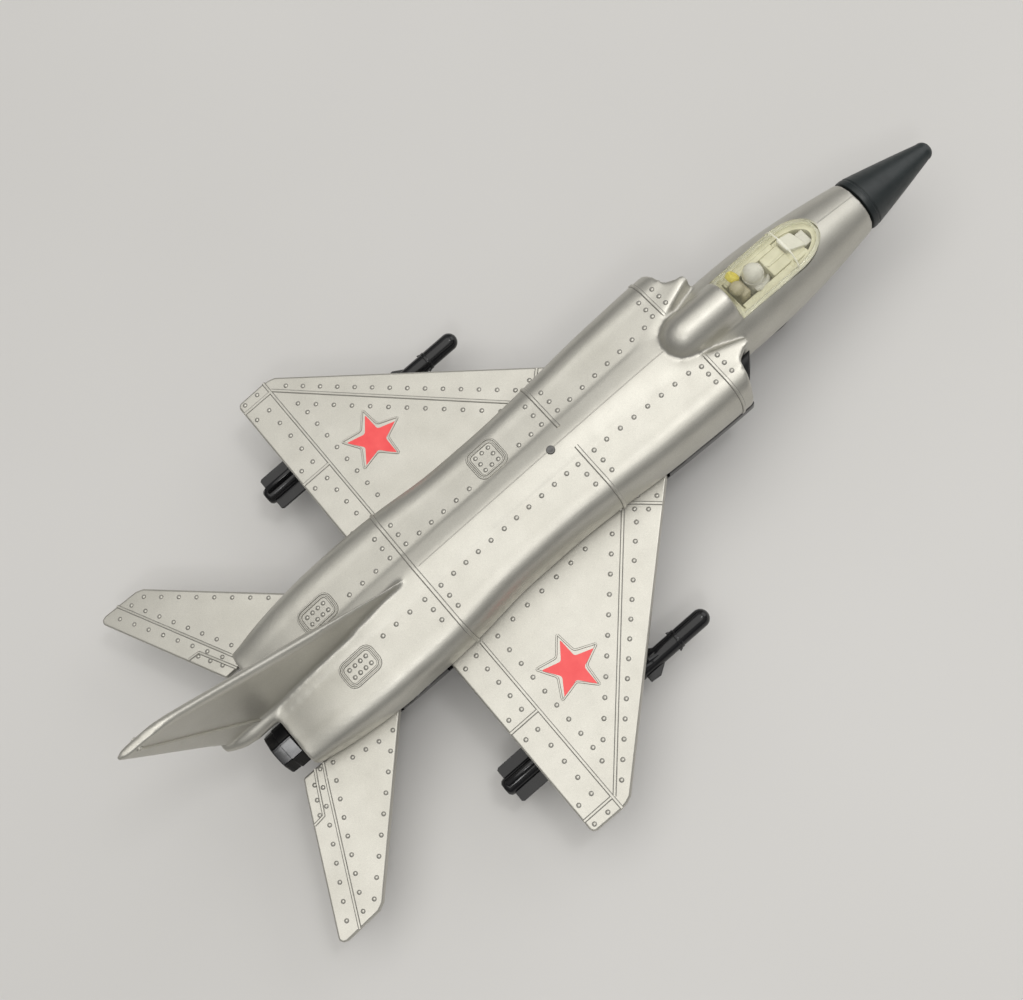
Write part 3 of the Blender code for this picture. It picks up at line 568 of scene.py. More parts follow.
def trunk_ring(x, inset=0.0, bottom=None):
    """The casting's section behind the intakes: side, shoulder, flat top, valley and spine."""
    width, top, inner = half_width(x) - inset, flat_z(x) - inset, trunk_inner_y(x) + 1.2 * inset
    low = parting_z(x) + GAP / 2 if bottom is None else bottom
    shoulder_z = min(SHOULDER_Z, top - 2.0)
    flat_y = max(0.62 * width, inner + 0.8)
    half = [(x, width - 0.5, low), (x, width - 0.15, (low + shoulder_z) / 2), (x, width, shoulder_z)]
    for a in arc(9, 81, 9):
        y = flat_y + (width - flat_y) * cos(a) ** 0.8
        half.append((x, y, shoulder_z + (top - 0.5 - shoulder_z) * sin(a) ** 0.8))
    half += [(x, y, top - 0.5 + 0.5 * (flat_y - y) / (flat_y - inner)) for y in spread(flat_y, inner, 4)]
    body = nose_axis_z(x) + track(x, (70.0, 0.05), (TRUNK_FRONT_X, -0.1)) - inset
    sunk = 0.5 - 0.5 * cos(pi * track(x, (59.5, 0.0), (64.5, 1.0)))
    for share in [0.985, 0.96, 0.93, 0.89, 0.85, 0.8, *spread(0.74, 0.0, 12)]:
        y = inner * share
        spine = top + (spine_z(x) - inset - top) * (1.2 - hypot(share, 0.2)) / 1.02
        drop = min(1.0, (1 - share) / track(x, (60.0, 0.5), (66.0, 0.09)))
        floor = body + sqrt(max(nose_radius(x) ** 2 - y * y, 1.0))
        half.append((x, y, spine + (top + (min(floor, top) - top) * drop - spine) * sunk))
    return mirrored(half)


def nose_ring(x):
    radius, middle, low = nose_radius(x), nose_axis_z(x), parting_z(x) + GAP / 2
    start = asin(max((low - middle) / radius, -0.95))
    half = [(x, radius * cos(a), max(middle + radius * sin(a), low)) for a in spread(start, pi / 2, 25)]
    half[-1] = (x, 0.0, middle + radius)
    return mirrored(half)


def hump_ring(x):
    """The round-backed hump behind the canopy, which swells out of the spine."""
    share = min(max((x - HUMP_END_X) / 4.5, 0.0), 1.0)
    swell = sqrt(1 - (1 - share) ** 2)
    start_z, side_z = 10.4, 9.3
    width, top = 0.6 + 3.5 * swell, start_z + (CANOPY_TOP_Z - start_z) * swell
    half = [(x, width, 8.0), (x, width, side_z)]
    half += [(x, width * cos(a), side_z + (top - side_z) * sin(a)) for a in arc(10, 80, 8)]
    return mirrored(half + [(x, 0.0, top)])


def canopy_plan(grow, steps=24):
    width, straight_end = CANOPY_HALF_WIDTH + grow, CANOPY_FRONT_X - CANOPY_ROUND
    points = [(CANOPY_REAR_X - grow, -width), (straight_end, -width)]
    reach = CANOPY_ROUND + grow
    points += [(straight_end + reach * cos(a), width * sin(a)) for a in arc(-84, 84, steps)]
    return points + [(straight_end, width), (CANOPY_REAR_X - grow, width)]


def lip_x(y):
    """How far forward a trunk's top reaches: a blunt tip beside the nose, then a scoop back to the side."""
    out = max(0.0, y - LIP_TIP_Y)
    return LIP_TIP_X - 3.3 * sin(pi / 2 * min(1.0, out / 1.8)) - 1.5 * (out / 6.1) ** 2


def lip_plan(side):
    """What the intake's concave lip takes off a trunk's front, from above."""
    points = [(90, 6.2), (72.6, 6.2)] + [(lip_x(y), y) for y in spread(LIP_TIP_Y, 14.2, 20)]
    return [(x, side * y) for x, y in points + [(67.3, 16.5), (90, 16.5)]]


def fin_half_thickness(z):
    return 1.0 - 0.15 * max(0.0, z - 9.0) / (FIN_TOP_Z - 9.0)


def at_fin_edge(x, y, z):
    return z > 11.5 and (abs(x - track(z, *FIN_TRAILING)) < 1.0 or abs(x - track(z, *FIN_LEADING)) < 1.6)


def fin_ring(z):
    """The fin's section at a height: a round leading edge, flat sides and a thinner trailing edge."""
    front, rear, thick = track(z, *FIN_LEADING), track(z, *FIN_TRAILING), fin_half_thickness(z)
    end = max(0.0, z - FIN_TOP_Z + 0.6) / 0.6
    thick *= sqrt(max(0.05, 1 - end * end * 0.9))
    nose, blunt = track(z, (9.0, 20.0), (13.0, 8.0), (20.0, 1.2)), track(z, (9.0, 1.0), (20.0, 0.5))
    half = [(front, 0.0)]
    for share in (0.04, 0.12, 0.25, 0.45, 0.7, 1.0):
        half.append((front - nose * share, thick * max(0.3, share ** blunt)))
    half += [(front + (rear - front) * share, thick) for share in (0.3, 0.5, 0.7)]
    half += [(rear + 1.0, thick * 0.85), (rear, thick * 0.6)]
    return [(x, y, z) for x, y in half] + [(x, -y, z) for x, y in reversed(half[1:])]


# The upper casting


def beside_nose(x, y, z):
    """Whether a point is on the thin wall between a trunk's front and the nose."""
    return DUCT_REAR_X < x < TRUNK_FRONT_X + 0.5 and z > 4.0 and abs(abs(y) - trunk_inner_y(x)) < 1.0


def fuselage():
    count = int(TRUNK_FRONT_X - BODY_REAR_X)
    body = loft_at(spread(BODY_REAR_X, TRUNK_FRONT_X, count), trunk_ring)
    ducts = loft_at(spread(DUCT_REAR_X, TRUNK_FRONT_X + 2, 12), trunk_ring, 1.0, -3.0)
    body = baked_boolean(body, ducts)
    body = baked_boolean(body, prisms(*[(lip_plan(side), -8.3, 16.1) for side in (1, -1)]))
    nose = loft_at(spread(NOSE_SHELL_REAR_X, CONE_BASE_X, 48), nose_ring)
    hump = loft_at([HUMP_END_X + 0.02, *spread(61.5, 65.7, 14), CANOPY_REAR_X - GAP], hump_ring)
    fin = loft_at([*spread(FIN_FOOT_Z, 35.2, 40), 35.5, 35.7, 35.85, 35.95, FIN_TOP_Z], fin_ring)
    fairing = [(-37.6, 0.9, 0.8), (-37.4, 1.15, 1.0), (-36.2, 1.8, 1.35), (-34.6, 2.5, 1.7),
               (-32.0, 2.95, 1.9), (-28.0, 2.9, 1.9), (-23.0, 2.2, 1.7), (-18.5, 0.6, 0.6)]
    tube = loft([oval(x, 0.0, FAIRING_Z, width, height, 32) for x, width, height in fairing])
    for other in (nose, hump, fin, tube):
        body = baked_boolean(body, other, "UNION")
    skin = cast_as_one([body], 4)
    soften(skin, beside_nose, 10)
    soften(skin, at_fin_edge, 8)
    recess, well = (canopy_plan(0.18, 48), 4.9, 16.0), (canopy_plan(-2.2), 3.0, 6.0)
    skin = baked_boolean(skin, prisms(recess, well))
    new_piece("fuselage_skin", skin, SILVER, replaces="fuselage_casting", sharp=60)
    return tree_of(skin)


SKIN_TREE = fuselage()


def on_top(x, y):
    """Where the body's skin is seen from above."""
    return hit(SKIN_TREE, place(x, y, 40.0), -UP)


def on_side(x, a):
    """Where a ray from a trunk's middle at this angle above level leaves the skin, at port."""
    away = Vector((0, cos(a), sin(a)))
    return hit(SKIN_TREE, place(x, 4.0, 2.5) + away * 0.03, -away)


# Raised lines and rivets on the castings


def wing_top(x, y):
    return -WING_ANHEDRAL * max(0.0, abs(y) - WING_ROOT_Y)


def tail_top(x, y):
    return TAIL_TOP_Z - TAIL_ANHEDRAL * max(0.0, abs(y) - WING_ROOT_Y)


def slope_normal(surface, x, y):
    lean = (surface(x, y + 0.1) - surface(x, y - 0.1)) / 0.2
    return Vector((0, -lean, 1)).normalized()


def along(points, step=1.0):
    """Points about this far apart on the straight lines through these."""
    made = [Vector(points[0])]
    for start, end in zip(map(Vector, points), map(Vector, points[1:])):
        count = max(1, round((end - start).length / step))
        made += [start.lerp(end, i / count) for i in range(1, count + 1)]
    return made


# Material slot of the painted shade along raised lines and round rivets
SHADE_SLOT = 1


def ridge(bm, points, normals, width=0.5, height=0.18, grime=0.09):
    """A raised line with a flat top on a surface, and a strip of painted shade along both its feet."""
    w, g = width / 2, width / 2 + grime
    half = [(g, -0.12), (g, 0.015), (w, 0.02), (w * 0.85, height * 0.75), (w * 0.6, height)]
    section = [(-u, v) for u, v in half] + half[::-1]
    rings = []
    for i, (point, normal) in enumerate(zip(points, normals)):
        before, after = points[max(i - 1, 0)], points[min(i + 1, len(points) - 1)]
        across = (Vector(after) - Vector(before)).cross(normal).normalized()
        rings.append([Vector(point) + across * u + normal * v for u, v in section])
    for step in loft_into(bm, rings):
        # The strips along the line's feet carry the painted shade
        step[1].material_index = SHADE_SLOT
        step[7].material_index = SHADE_SLOT


def plan_ridge(bm, points, surface, **size):
    """A raised line on a wing from points in x and y."""
    path = [(p.x, p.y, surface(p.x, p.y)) for p in along(points)]
    ridge(bm, path, [slope_normal(surface, x, y) for x, y, _ in path], **size)


def draped_ridge(bm, points, onto, step, **size):
    """A raised line laid on a skin from points in x and y."""
    hits = [onto(p.x, p.y) for p in along(points, step)]
    ridge(bm, [point for point, _ in hits], [normal for _, normal in hits], **size)


def rivet(bm, point, normal, size=0.32):
    """A round head in a ring of painted shade."""
    turn = UP.rotation_difference(normal).to_matrix()
    profile = ((size + 0.13, -0.1), (size + 0.13, 0.015), (size, 0.02), (size * 0.9, 0.12), (size * 0.5, 0.2))
    rings = []
    for radius, height in profile:
        ring = [Vector((radius * cos(a), radius * sin(a), height)) for a in circle(12)]
        rings.append([Vector(point) + turn @ local for local in ring])
    # The ring round the head's foot carries the painted shade
    for face in loft_into(bm, rings)[1]:
        face.material_index = SHADE_SLOT


def row(start, end, count):
    return [Vector(start).lerp(Vector(end), share) for share in spread(0, 1, count)]


# Ribs and rivets at port, as seen from above: (x, y)
WING_RIBS = [
    [(6.3, 14.1), (6.3, 50.0)],
    [(0.2, 47.6), (6.1, 47.6)],
    [(0.2, 29.0), (6.1, 29.0)],
    [(6.6, 47.8), (39.2, 12.9)],
    [(40.5, 12.6), (44.8, 16.6)],
]
WING_RIVETS = [
    *row((39.4, 16.1), (9.2, 46.6), 14), *row((35.0, 14.9), (8.8, 42.2), 12),
    *row((9.1, 15.2), (9.1, 39.6), 9), *row((12.9, 14.7), (29.9, 13.8), 6),
    *row((4.2, 15.3), (4.2, 27.1), 5), *row((4.1, 31.4), (4.0, 45.0), 5),
    *row((42.6, 12.8), (45.0, 15.0), 2), *row((38.9, 12.6), (42.4, 15.8), 3),
    *map(Vector, ((1.4, 15.8), (1.4, 27.1), (1.5, 31.4), (1.2, 45.1), (4.1, 49.0), (1.2, 49.0))),
]
TAIL_RIBS = [
    [(-39.8, 36.3), (-27.2, 11.5)],
    [(-29.0, 11.4), (-32.7, 18.4), (-34.9, 18.6)],
]
TAIL_RIVETS = [
    *row((-34.9, 34.2), (-14.7, 15.2), 9), *row((-37.6, 34.5), (-25.9, 12.6), 9),
    *row((-40.7, 33.9), (-28.3, 12.0), 9), *row((-33.2, 17.9), (-30.7, 13.5), 3),
    *row((-17.7, 15.1), (-22.8, 14.2), 3),
]
STAR_CENTRE = (15.0, 27.1)
STAR_RADIUS = 5.9
CROSS_RIB_X = 6.2
FRONT_RIB_X = 39.6
LIP_RIB_X = 65.3


def star(radius, waist, side, shift=0.0):
    """A five-pointed star with blunted points on a wing, one of them forward."""
    x, y = STAR_CENTRE
    points = []
    for i in range(10):
        a = pi * i / 5
        reach = radius if i % 2 == 0 else waist
        points.append((x + reach * cos(a), side * y + shift + reach * sin(a)))
    return rounded_loop(points, 0.45, 4)


def ribs_and_rivets(bm, surface, ribs, rivets, size, **line):
    for side in (1, -1):
        for points in ribs:
            plan_ridge(bm, [(x, side * y) for x, y in points], surface, **line)
        for p in rivets:
            rivet(bm, (p.x, side * p.y, surface(p.x, p.y)), slope_normal(surface, p.x, side * p.y), size)


def flat_details():
    """The lines and rivets on the wings and tailplanes, the stars' outlines, and the stars' red fills.

    The fills are printed a little to starboard of their outlines.
    """
    bm = bmesh.new()
    fills = bmesh.new()
    ribs_and_rivets(bm, wing_top, WING_RIBS, WING_RIVETS, 0.32)
    for side in (1, -1):
        outline = star(STAR_RADIUS, 2.75, side)
        for start, end in zip(outline, outline[1:] + outline[:1]):
            plan_ridge(bm, [start, end], wing_top, width=0.3, height=0.14, grime=0.05)
        inside = star(STAR_RADIUS - 0.75, 2.1, side, -0.35)
        loft_into(fills, [[(x, y, wing_top(x, y) + lift) for x, y in inside] for lift in (-0.1, 0.035)])
    # The second material is the painted shade beside the ribs and rivets
    new_piece("wing_ribs_and_rivets", mesh_from(bm), SILVER, CREVICE_SHADE)
    bm = bmesh.new()
    ribs_and_rivets(bm, tail_top, TAIL_RIBS, TAIL_RIVETS, 0.3, width=0.42, height=0.17)
    # The second material is the painted shade beside the ribs and rivets
    new_piece("tail_ribs_and_rivets", mesh_from(bm), SILVER, CREVICE_SHADE)
    new_piece("red_stars", mesh_from(fills), RED)


def hoop(bm, x, inner_y, **size):
    """A raised line round a trunk at x, from inner_y out and down to the wing, on both sides."""
    hits = [on_side(x, a) for a in arc(118, -9.0, 90)]
    hits = [(point, normal) for point, normal in hits if point.y > inner_y]
    normals = [Vector((0, normal.y, normal.z)).normalized() for _, normal in hits]
    for side in (1, -1):
        flip = Vector((1, side, 1))
        ridge(bm, [point * flip for point, _ in hits], [n * flip for n in normals], **size)


def access_panel(bm, x, y, length, breadth, rivets):
    """A hatch outlined by two raised lines, with its own rivets."""
    for inset in (0.0, 0.55):
        outline = rounded_rectangle(x, y, length - 2 * inset, breadth - 2 * inset, 1.4 - inset)
        draped_ridge(bm, outline, on_top, 0.5, width=0.22, height=0.18, grime=0.1)
    for u, v in rivets:
        rivet(bm, *on_top(x + u, y + v), size=0.3)


def trunk_rivets():
    """Where rivets sit on a trunk's top, at port: (x, y)."""
    spots = [(66.9, y) for y in (6.4, 8.1, 9.9)] + [(63.7, y) for y in (6.1, 7.8, 9.6)]
    spots += [(x, track(x, (44.0, 4.7), (61.4, 5.5))) for x in spread(61.4, 44.1, 7)]
    for rib_x in (FRONT_RIB_X, 6.0):
        spots += [(rib_x + offset, y) for offset in (1.75, -1.8) for y in (4.7, 6.9, 9.1)]
    return spots + [(x, 4.6) for x in (35.4, 32.7, 21.7, 18.8, 16.0, 13.3, 10.6, 1.0, -2.0, -4.9)]


def body_details():
    """The body's ribs, rivets and hatches, its mould line and the rudder's hinge line."""
    bm = bmesh.new()
    hoop(bm, FRONT_RIB_X, 2.2, width=0.6, height=0.22)
    hoop(bm, LIP_RIB_X, 4.7, width=0.55, height=0.22)
    hoop(bm, CROSS_RIB_X, 0.4, width=0.65, height=0.26)
    draped_ridge(bm, [(CROSS_RIB_X, -1.3), (CROSS_RIB_X, 1.3)], on_top, 0.5, width=0.65, height=0.26)
    for x, y in trunk_rivets():
        for side in (1, -1):
            rivet(bm, *on_top(x, side * y))
    for x in (29.9, 27.1, 24.4):
        rivet(bm, *on_top(x, -4.6))
    ring_of_eight = [(u, v) for u in (-1.4, 0, 1.4) for v in (-1.4, 0, 1.4) if u or v]
    access_panel(bm, 27.2, 6.6, 5.9, 5.6, ring_of_eight)
    twin_rows = [(u, v) for u in (-1.8, -0.6, 0.6, 1.8) for v in (-0.75, 0.75)]
    for side in (1, -1):
        access_panel(bm, -11.0, side * 5.9, 6.8, 4.6, twin_rows)
    for mould_line in ([(7.0, 0.12), (60.8, 0.12)], [(94.9, 0.1), (103.2, 0.1)]):
        draped_ridge(bm, mould_line, on_top, 0.5, width=0.12, height=0.05, grime=0.03)
    for side in (1, -1):
        outward = TO_PORT * side
        hinge = [(track(z, (4.0, -28.3), (34.6, -40.4)), side * (fin_half_thickness(z) - 0.02), z)
                 for z in spread(6.2, 35.0, 30)]
        ridge(bm, hinge, [outward] * len(hinge), width=0.6, height=0.32, grime=0.0)
        rivet(bm, hinge[-1], outward, 0.45)
    # The second material is the painted shade beside the ribs, rivets and hatch lines
    new_piece("body_ribs_and_rivets", mesh_from(bm), SILVER, CREVICE_SHADE)


# The wings and tailplane


def thin_casting(name, half, low, high, slope):
    """A flat casting from its port outline, with rounded edges, that bends down outside its roots."""
    bm = bmesh.new()
    prism_into(bm, half + [(x, -y) for x, y in reversed(half)], low, high)
    root = WING_ROOT_Y * MM
    for side in (1, -1):
        everything = bm.verts[:] + bm.edges[:] + bm.faces[:]
        bmesh.ops.bisect_plane(bm, geom=everything, plane_co=(0, side * root, 0), plane_no=(0, 1, 0))
    for vert in bm.verts:
        vert.co.z -= slope * max(0.0, abs(vert.co.y) - root)
    piece = new_piece(name + "_skin", mesh_from(bm), SILVER, replaces=name)
    round_edges(piece, width=0.5, segments=4, angle=28)


def wings():
    thin_casting("wing_casting", [
        (48.7, 8.0), (48.7, 13.45), (8.6, 49.45), (7.4, 49.9), (6.0, 50.1), (0.6, 50.0), (0.0, 49.4),
        (0.0, 8.0),
    ], -WING_THICKNESS, 0.0, WING_ANHEDRAL)
    thin_casting("tailplane_casting", [
        (-11.4, 6.0), (-11.4, 13.2), (-34.2, 35.6), (-35.6, 36.2), (-42.6, 36.5), (-43.5, 36.2),
        (-43.8, 35.4), (-31.6, 11.3), (-24.0, 11.3), (-24.0, 6.0),
    ], TAIL_TOP_Z - TAIL_THICKNESS, TAIL_TOP_Z, TAIL_ANHEDRAL)


# Black plastic: the lower body, its underside lines, the intake ducts and the nose


def lower_trunk_ring(x, inset=0.0, top=None):
    width = half_width(x) - 0.5 - inset
    high = parting_z(x) - GAP / 2 if top is None else top
    floor = lower_z(x) + inset
    corner = 3.6
    half = [(x, width, high)]
    half += [(x, width - corner * (1 - cos(a)), floor + 0.75 * corner * (1 - sin(a))) for a in arc(0, 90, 12)]
    return mirrored(half + [(x, 0.0, floor)])


def lower_nose_ring(x):
    radius, middle = nose_radius(x), nose_axis_z(x)
    start = asin((min(parting_z(x) - GAP / 2, middle - 0.1) - middle) / radius)
    half = [(x, radius * cos(a), middle + radius * sin(a)) for a in spread(start, -pi / 2, 22)]
    half[-1] = (x, 0.0, middle - radius)
    return mirrored(half)


def lower_body():
    trunk = loft_at(spread(BODY_REAR_X, LOWER_FRONT_X, 96), lower_trunk_ring)
    tray = loft_at(spread(NOSE_SHELL_REAR_X, LOWER_FRONT_X + 1, 8), lower_trunk_ring, WALL, 2.0)
    trunk = baked_boolean(trunk, tray)
    nose = loft_at(spread(NOSE_SHELL_REAR_X, CONE_BASE_X, 48), lower_nose_ring)
    (rear, starboard), (front, port) = BELLY_PANEL
    low, high = (rear + 0.2, starboard + 0.2, BELLY_Z - 0.5), (front - 0.2, port - 0.2, BELLY_Z + 1)
    body = cast_as_one([trunk, nose, prisms(block(low, high))], 3)
    wing_low, tail_low = -WING_THICKNESS - GAP, TAIL_TOP_Z - TAIL_THICKNESS - GAP
    wing_notch = block((-1.0, -20, wing_low), (49.2, 20, 3))
    tail_notch = block((-40.0, -20, tail_low), (-11.0, 20, 3))
    body = baked_boolean(body, prisms(wing_notch, tail_notch))
    new_piece("lower_body_skin", body, BLACK, replaces="lower_body", sharp=40)
    return tree_of(body)


def belly_details():
    """Raised lines under the plastic body, a line beside each main leg and a border round the blank panel."""
    bm = bmesh.new()
    tree = lower_body()

    def line(points):
        draped_ridge(bm, points, lambda x, y: hit(tree, place(x, y, -40.0), UP), 1.0,
                     width=0.4, height=0.16, grime=0.0)

    for x in (-21.0, 4.0, 44.0, 66.0):
        reach = half_width(x) - 3.4
        line([(x, -reach), (x, reach)])
    for side in (1, -1):
        for x, y, length, breadth in ((0.0, 7.0, 5.0, 7.0), (51.5, 7.5, 9.0, 6.0), (-14.0, 7.2, 8.5, 5.0)):
            line(rounded_rectangle(x, side * y, length, breadth, 0.9))
        line([(MAIN_GEAR_X - 5.5, side * 4.8), (MAIN_GEAR_X + 2.6, side * 4.8)])
        line(rounded_rectangle(90.5, side * 2.4, 7.0, 2.2, 0.6))
    (rear, starboard), (front, port) = BELLY_PANEL
    line(rounded_rectangle((rear + front) / 2, 0, front - rear - 1.6, port - starboard - 1.6, 1.2))
    new_piece("belly_lines", mesh_from(bm), BLACK, BLACK)


def intake_ducts():
    """A black duct behind each intake lip, narrowing a little to its closed end."""
    wall = [(8.3, -3.1), (10.5, -3.1), (11.9, -1.9), (12.4, 2.2), (11.6, 5.0), (10.3, 6.9), (8.3, 7.7)]
    wall = rounded_loop(wall, 0.9)
    middle = Vector((10.2, 2.2))
    stations = ((12.6, 0.9), (0.2, 1.0), (0.0, 0.97), (0.2, 0.86), (10.0, 0.72), (10.6, 0.5))
    for side, name in SIDES:
        rings = []
        for back, scale in stations:
            section = [middle + (Vector(point) - middle) * scale for point in wall]
            rings.append([(DUCT_FRONT_X - max(DUCT_SWEEP * (y - DUCT_INNER_Y), 0.0) - back, side * y, z)
                          for y, z in section])
        new_piece(f"{name}_intake_throat", loft(rings), DULL_BLACK, replaces=f"{name}_intake_duct")


def nose_cone():
    """A satin cone that droops to a round tip, with a collar and a groove at its base."""
    base, tip_radius, spigot, count = CONE_BASE_X + GAP, 1.55, 2.7, 64
    length = NOSE_TIP_X - base
    stations = [(0.0, 4.6), (0.12, 4.93), (0.3, 5.0), (1.05, 5.0), (1.2, 4.86), (1.45, 4.84), (1.6, 4.93)]
    for d in spread(2.2, length - 1.62, 24):
        stations.append((d, 4.93 - 0.205 * (d - 1.6) - 0.0012 * (d - 1.6) ** 2))
    joint = stations[-1][1]
    for a in arc(12, 88, 10):
        stations.append((length - tip_radius * (1 - sin(a)) * 0.98, joint * cos(a) ** 0.8))
    rings = [oval(x, 0.0, CONE_AXIS_Z, spigot, spigot, count) for x in (base - 2.6, base)]
    for d, radius in stations:
        rings.append(oval(base + d, 0.0, CONE_AXIS_Z - CONE_DROOP * d / length, radius, radius, count))
    new_piece("nose_cone_skin", loft(rings), NOSE_BLACK, replaces="nose_cone")


# Cockpit


def canopy_ring(x, inset=0.0):
    """The canopy's arch at x, with a sill along its foot and a frame where the windscreen begins."""
    straight_end = CANOPY_FRONT_X - CANOPY_ROUND
    share = min(max((x - straight_end) / (CANOPY_ROUND - inset), 0.0), 0.992)
    sill, bow, bottom = 0.25, 0.14 * max(0.0, 1 - abs(x - CANOPY_BOW_X) / 0.4), CANOPY_BOTTOM_Z
    if inset:
        sill, bow, bottom = 0.0, 0.0, CANOPY_BOTTOM_Z - 0.5
    width = (CANOPY_HALF_WIDTH - inset - 0.25) * sqrt(1 - share * share) + 0.1
    top = canopy_top_z(x) - inset
    half = [(x, width + sill, bottom), (x, width + sill, SILL_Z - 0.25), (x, width, SILL_Z)]
    for a in arc(6, 84, 14):
        half.append((x, (width + bow) * cos(a) ** 0.85, SILL_Z + (top + bow - SILL_Z) * sin(a) ** 0.95))
    return mirrored(half + [(x, 0.0, top + bow)])


def canopy():
    straight_end = CANOPY_BOW_X - 1
    round_xs = [CANOPY_FRONT_X - CANOPY_ROUND * (1 - sin(a)) for a in arc(4, 83, 20)]
    bow_xs = [CANOPY_BOW_X + offset for offset in (-0.7, -0.45, -0.3, -0.15, 0.0, 0.15, 0.3)]
    outer = loft_at([*spread(CANOPY_REAR_X, straight_end, 14), *bow_xs, *round_xs], canopy_ring)
    inner_xs = [*spread(CANOPY_REAR_X + 0.8, straight_end, 13), *[x - CANOPY_WALL * 0.7 for x in round_xs]]
    shell = baked_boolean(outer, loft_at(inner_xs, canopy_ring, CANOPY_WALL))
    new_piece("canopy_shell", shell, CLEAR, CLEAR_EDGE, replaces="canopy", sharp=30)
    for face in shell.polygons:
        x, _, z = drawn(face.center)
        if z < SILL_Z - 0.15 or abs(x - CANOPY_BOW_X) < 0.18:
            face.material_index = 1


def cockpit_boxes(*rows):
    """Boxes with rounded edges, from (name, material, edge radius, low corner, high corner) rows."""
    for name, material, radius, low, high in rows:
        replaces = "ejection_seat" if name == "seat_back" else None
        round_edges(new_piece(name, prisms(block(low, high)), material, replaces=replaces), radius, 3)


def cockpit():
    """The pale tub with its consoles and decks, the white coaming, the seat and the knobs behind it."""
    floor = TUB_FLOOR_Z
    tub = prisms((canopy_plan(-0.3, 32), floor - 0.8, CANOPY_BOTTOM_Z - 0.2))
    tub = baked_boolean(tub, prisms((canopy_plan(-1.3, 32), floor, 9.5)))
    new_piece("cockpit_tray", tub, CREAM, replaces="cockpit_tub")
    cockpit_boxes(
        ("port_console", CREAM, 0.2, (76.4, 2.0, floor), (87.0, 3.0, 8.4)),
        ("starboard_console", CREAM, 0.2, (76.4, -3.0, floor), (87.0, -2.0, 8.4)),
        ("foredeck", CREAM, 0.25, (83.6, -1.95, floor), (87.6, 1.95, 8.6)),
        ("windscreen_deck", CREAM, 0.2, (87.0, -2.8, floor), (90.8, 2.8, 8.1)),
        ("foredeck_ridge", CREAM, 0.12, (83.9, -0.2, 8.5), (87.5, 0.2, 8.85)),
        ("nose_shelf", HELMET, 0.2, (91.0, -1.4, floor), (92.6, 1.4, 8.1)))
    bm = bmesh.new()
    plan = rounded_loop([(87.7, 2.4), (90.6, 2.0), (91.2, -1.5), (87.8, -0.4)], 0.5)
    prism_into(bm, plan, floor + 1, 9.6, lambda u, v, w: (u, v, w - 0.22 * (u - 87.7) * (w > 9)))
    round_edges(new_piece("coaming", mesh_from(bm), WHITE), 0.25, 3, harden=False)
    cockpit_boxes(
        ("starboard_foredeck", CREAM, 0.25, (87.8, -2.6, floor), (90.8, -1.7, 8.5)),
        ("seat_back", BEIGE, 0.4, (76.9, -1.7, floor + 0.2), (78.7, 1.7, 10.2)),
        ("seat_cushion", BEIGE, 0.35, (78.0, -1.6, floor + 0.2), (82.2, 1.6, floor + 1.4)))
    knob = [(0, 0), (1.0, 0), (1.2, 0.15), (1.25, 0.7), (1.1, 1.05), (0.7, 1.15), (0.6, 0.95), (0, 0.95)]
    headrest = turned(knob, (77.4, 2.0, 10.3), (0.75, 0.1, 0.66), 36)
    new_piece("yellow_headrest", headrest, YELLOW, replaces="headrest")
    new_piece("beige_knob", turned(ball(1.25, 1.25, 18), (77.0, 0.0, 10.9), UP, 32), BEIGE)


def ball(width, height, count):
    """The profile of a ball for turning."""
    middle = [(width * sin(a), -height * cos(a)) for a in spread(0, pi, count)[1:-1]]
    return [(0, -height), *middle, (0, height)]


def tube_along(bm, stations):
    """A rounded limb through (centre, radius) stations that lie mostly along X."""
    loft_into(bm, [oval(*centre, radius, radius, 20) for centre, radius in stations])


def pilot():
    """A seated figure with arms on the controls, in a round helmet with a lowered visor."""
    bm = bmesh.new()
    torso = [(5.8, 1.2, 1.3), (6.6, 1.25, 1.5), (7.6, 1.15, 1.65), (8.4, 1.05, 1.8), (9.0, 0.95, 1.75),
             (9.5, 0.75, 1.3), (9.8, 0.6, 0.8), (10.7, 0.55, 0.6)]
    loft_into(bm, [[(80.2 + depth * cos(a), width * sin(a), z) for a in circle(24)]
                   for z, depth, width in torso])
    arm = [(79.6, 1.6, 8.9, 0.4), (80.2, 1.75, 8.7, 0.62), (81.4, 1.7, 7.8, 0.6), (82.5, 1.4, 7.2, 0.5),
           (83.3, 0.8, 7.1, 0.42), (83.5, 0.6, 7.1, 0.2)]
    thigh = [(80.4, 0.9, 6.6, 0.5), (82.0, 1.0, 6.5, 0.7), (83.3, 1.0, 6.2, 0.5)]
    for side in (1, -1):
        for limb in (arm, thigh):
            tube_along(bm, [((x, side * y, z), radius) for x, y, z, radius in limb])
    new_piece("pilot_figure", mesh_from(bm), HELMET, replaces="pilot")
    bm = bmesh.new()
    head = (80.6, 0.1, 11.2)
    turn_into(bm, ball(1.78, 1.7, 24), head, UP, 40)
    visor = [(0, 0.95), (1.15, 0.95), (1.25, 1.1), (1.2, 1.45), (0.8, 1.76), (0, 1.86)]
    turn_into(bm, visor, head, (1, -0.25, 0.1), 32)
    rim = [(0, 0), (1.72, 0), (1.86, 0.12), (1.86, 0.3), (1.72, 0.42), (0, 0.42)]
    turn_into(bm, rim, (80.6, 0.1, 10.35), UP, 40)
    new_piece("helmet", mesh_from(bm), HELMET)


# Exhausts, missiles and rivets


def petalled(local, angle):
    """Flattens a nozzle's wall into petals and cuts a groove between them."""
    turn = angle * PETALS / (2 * pi) % 1.0
    flat = cos(pi / PETALS) / cos((turn - 0.5) * 2 * pi / PETALS)
    groove = 0.94 if min(turn, 1 - turn) < 0.05 else 1.0
    radius, throat, lip = hypot(local.x, local.y), 3.0, 3.7
    if radius < throat:
        return local
    scale = flat * groove if radius > lip else flat
    return Vector((local.x * scale, local.y * scale, local.z))


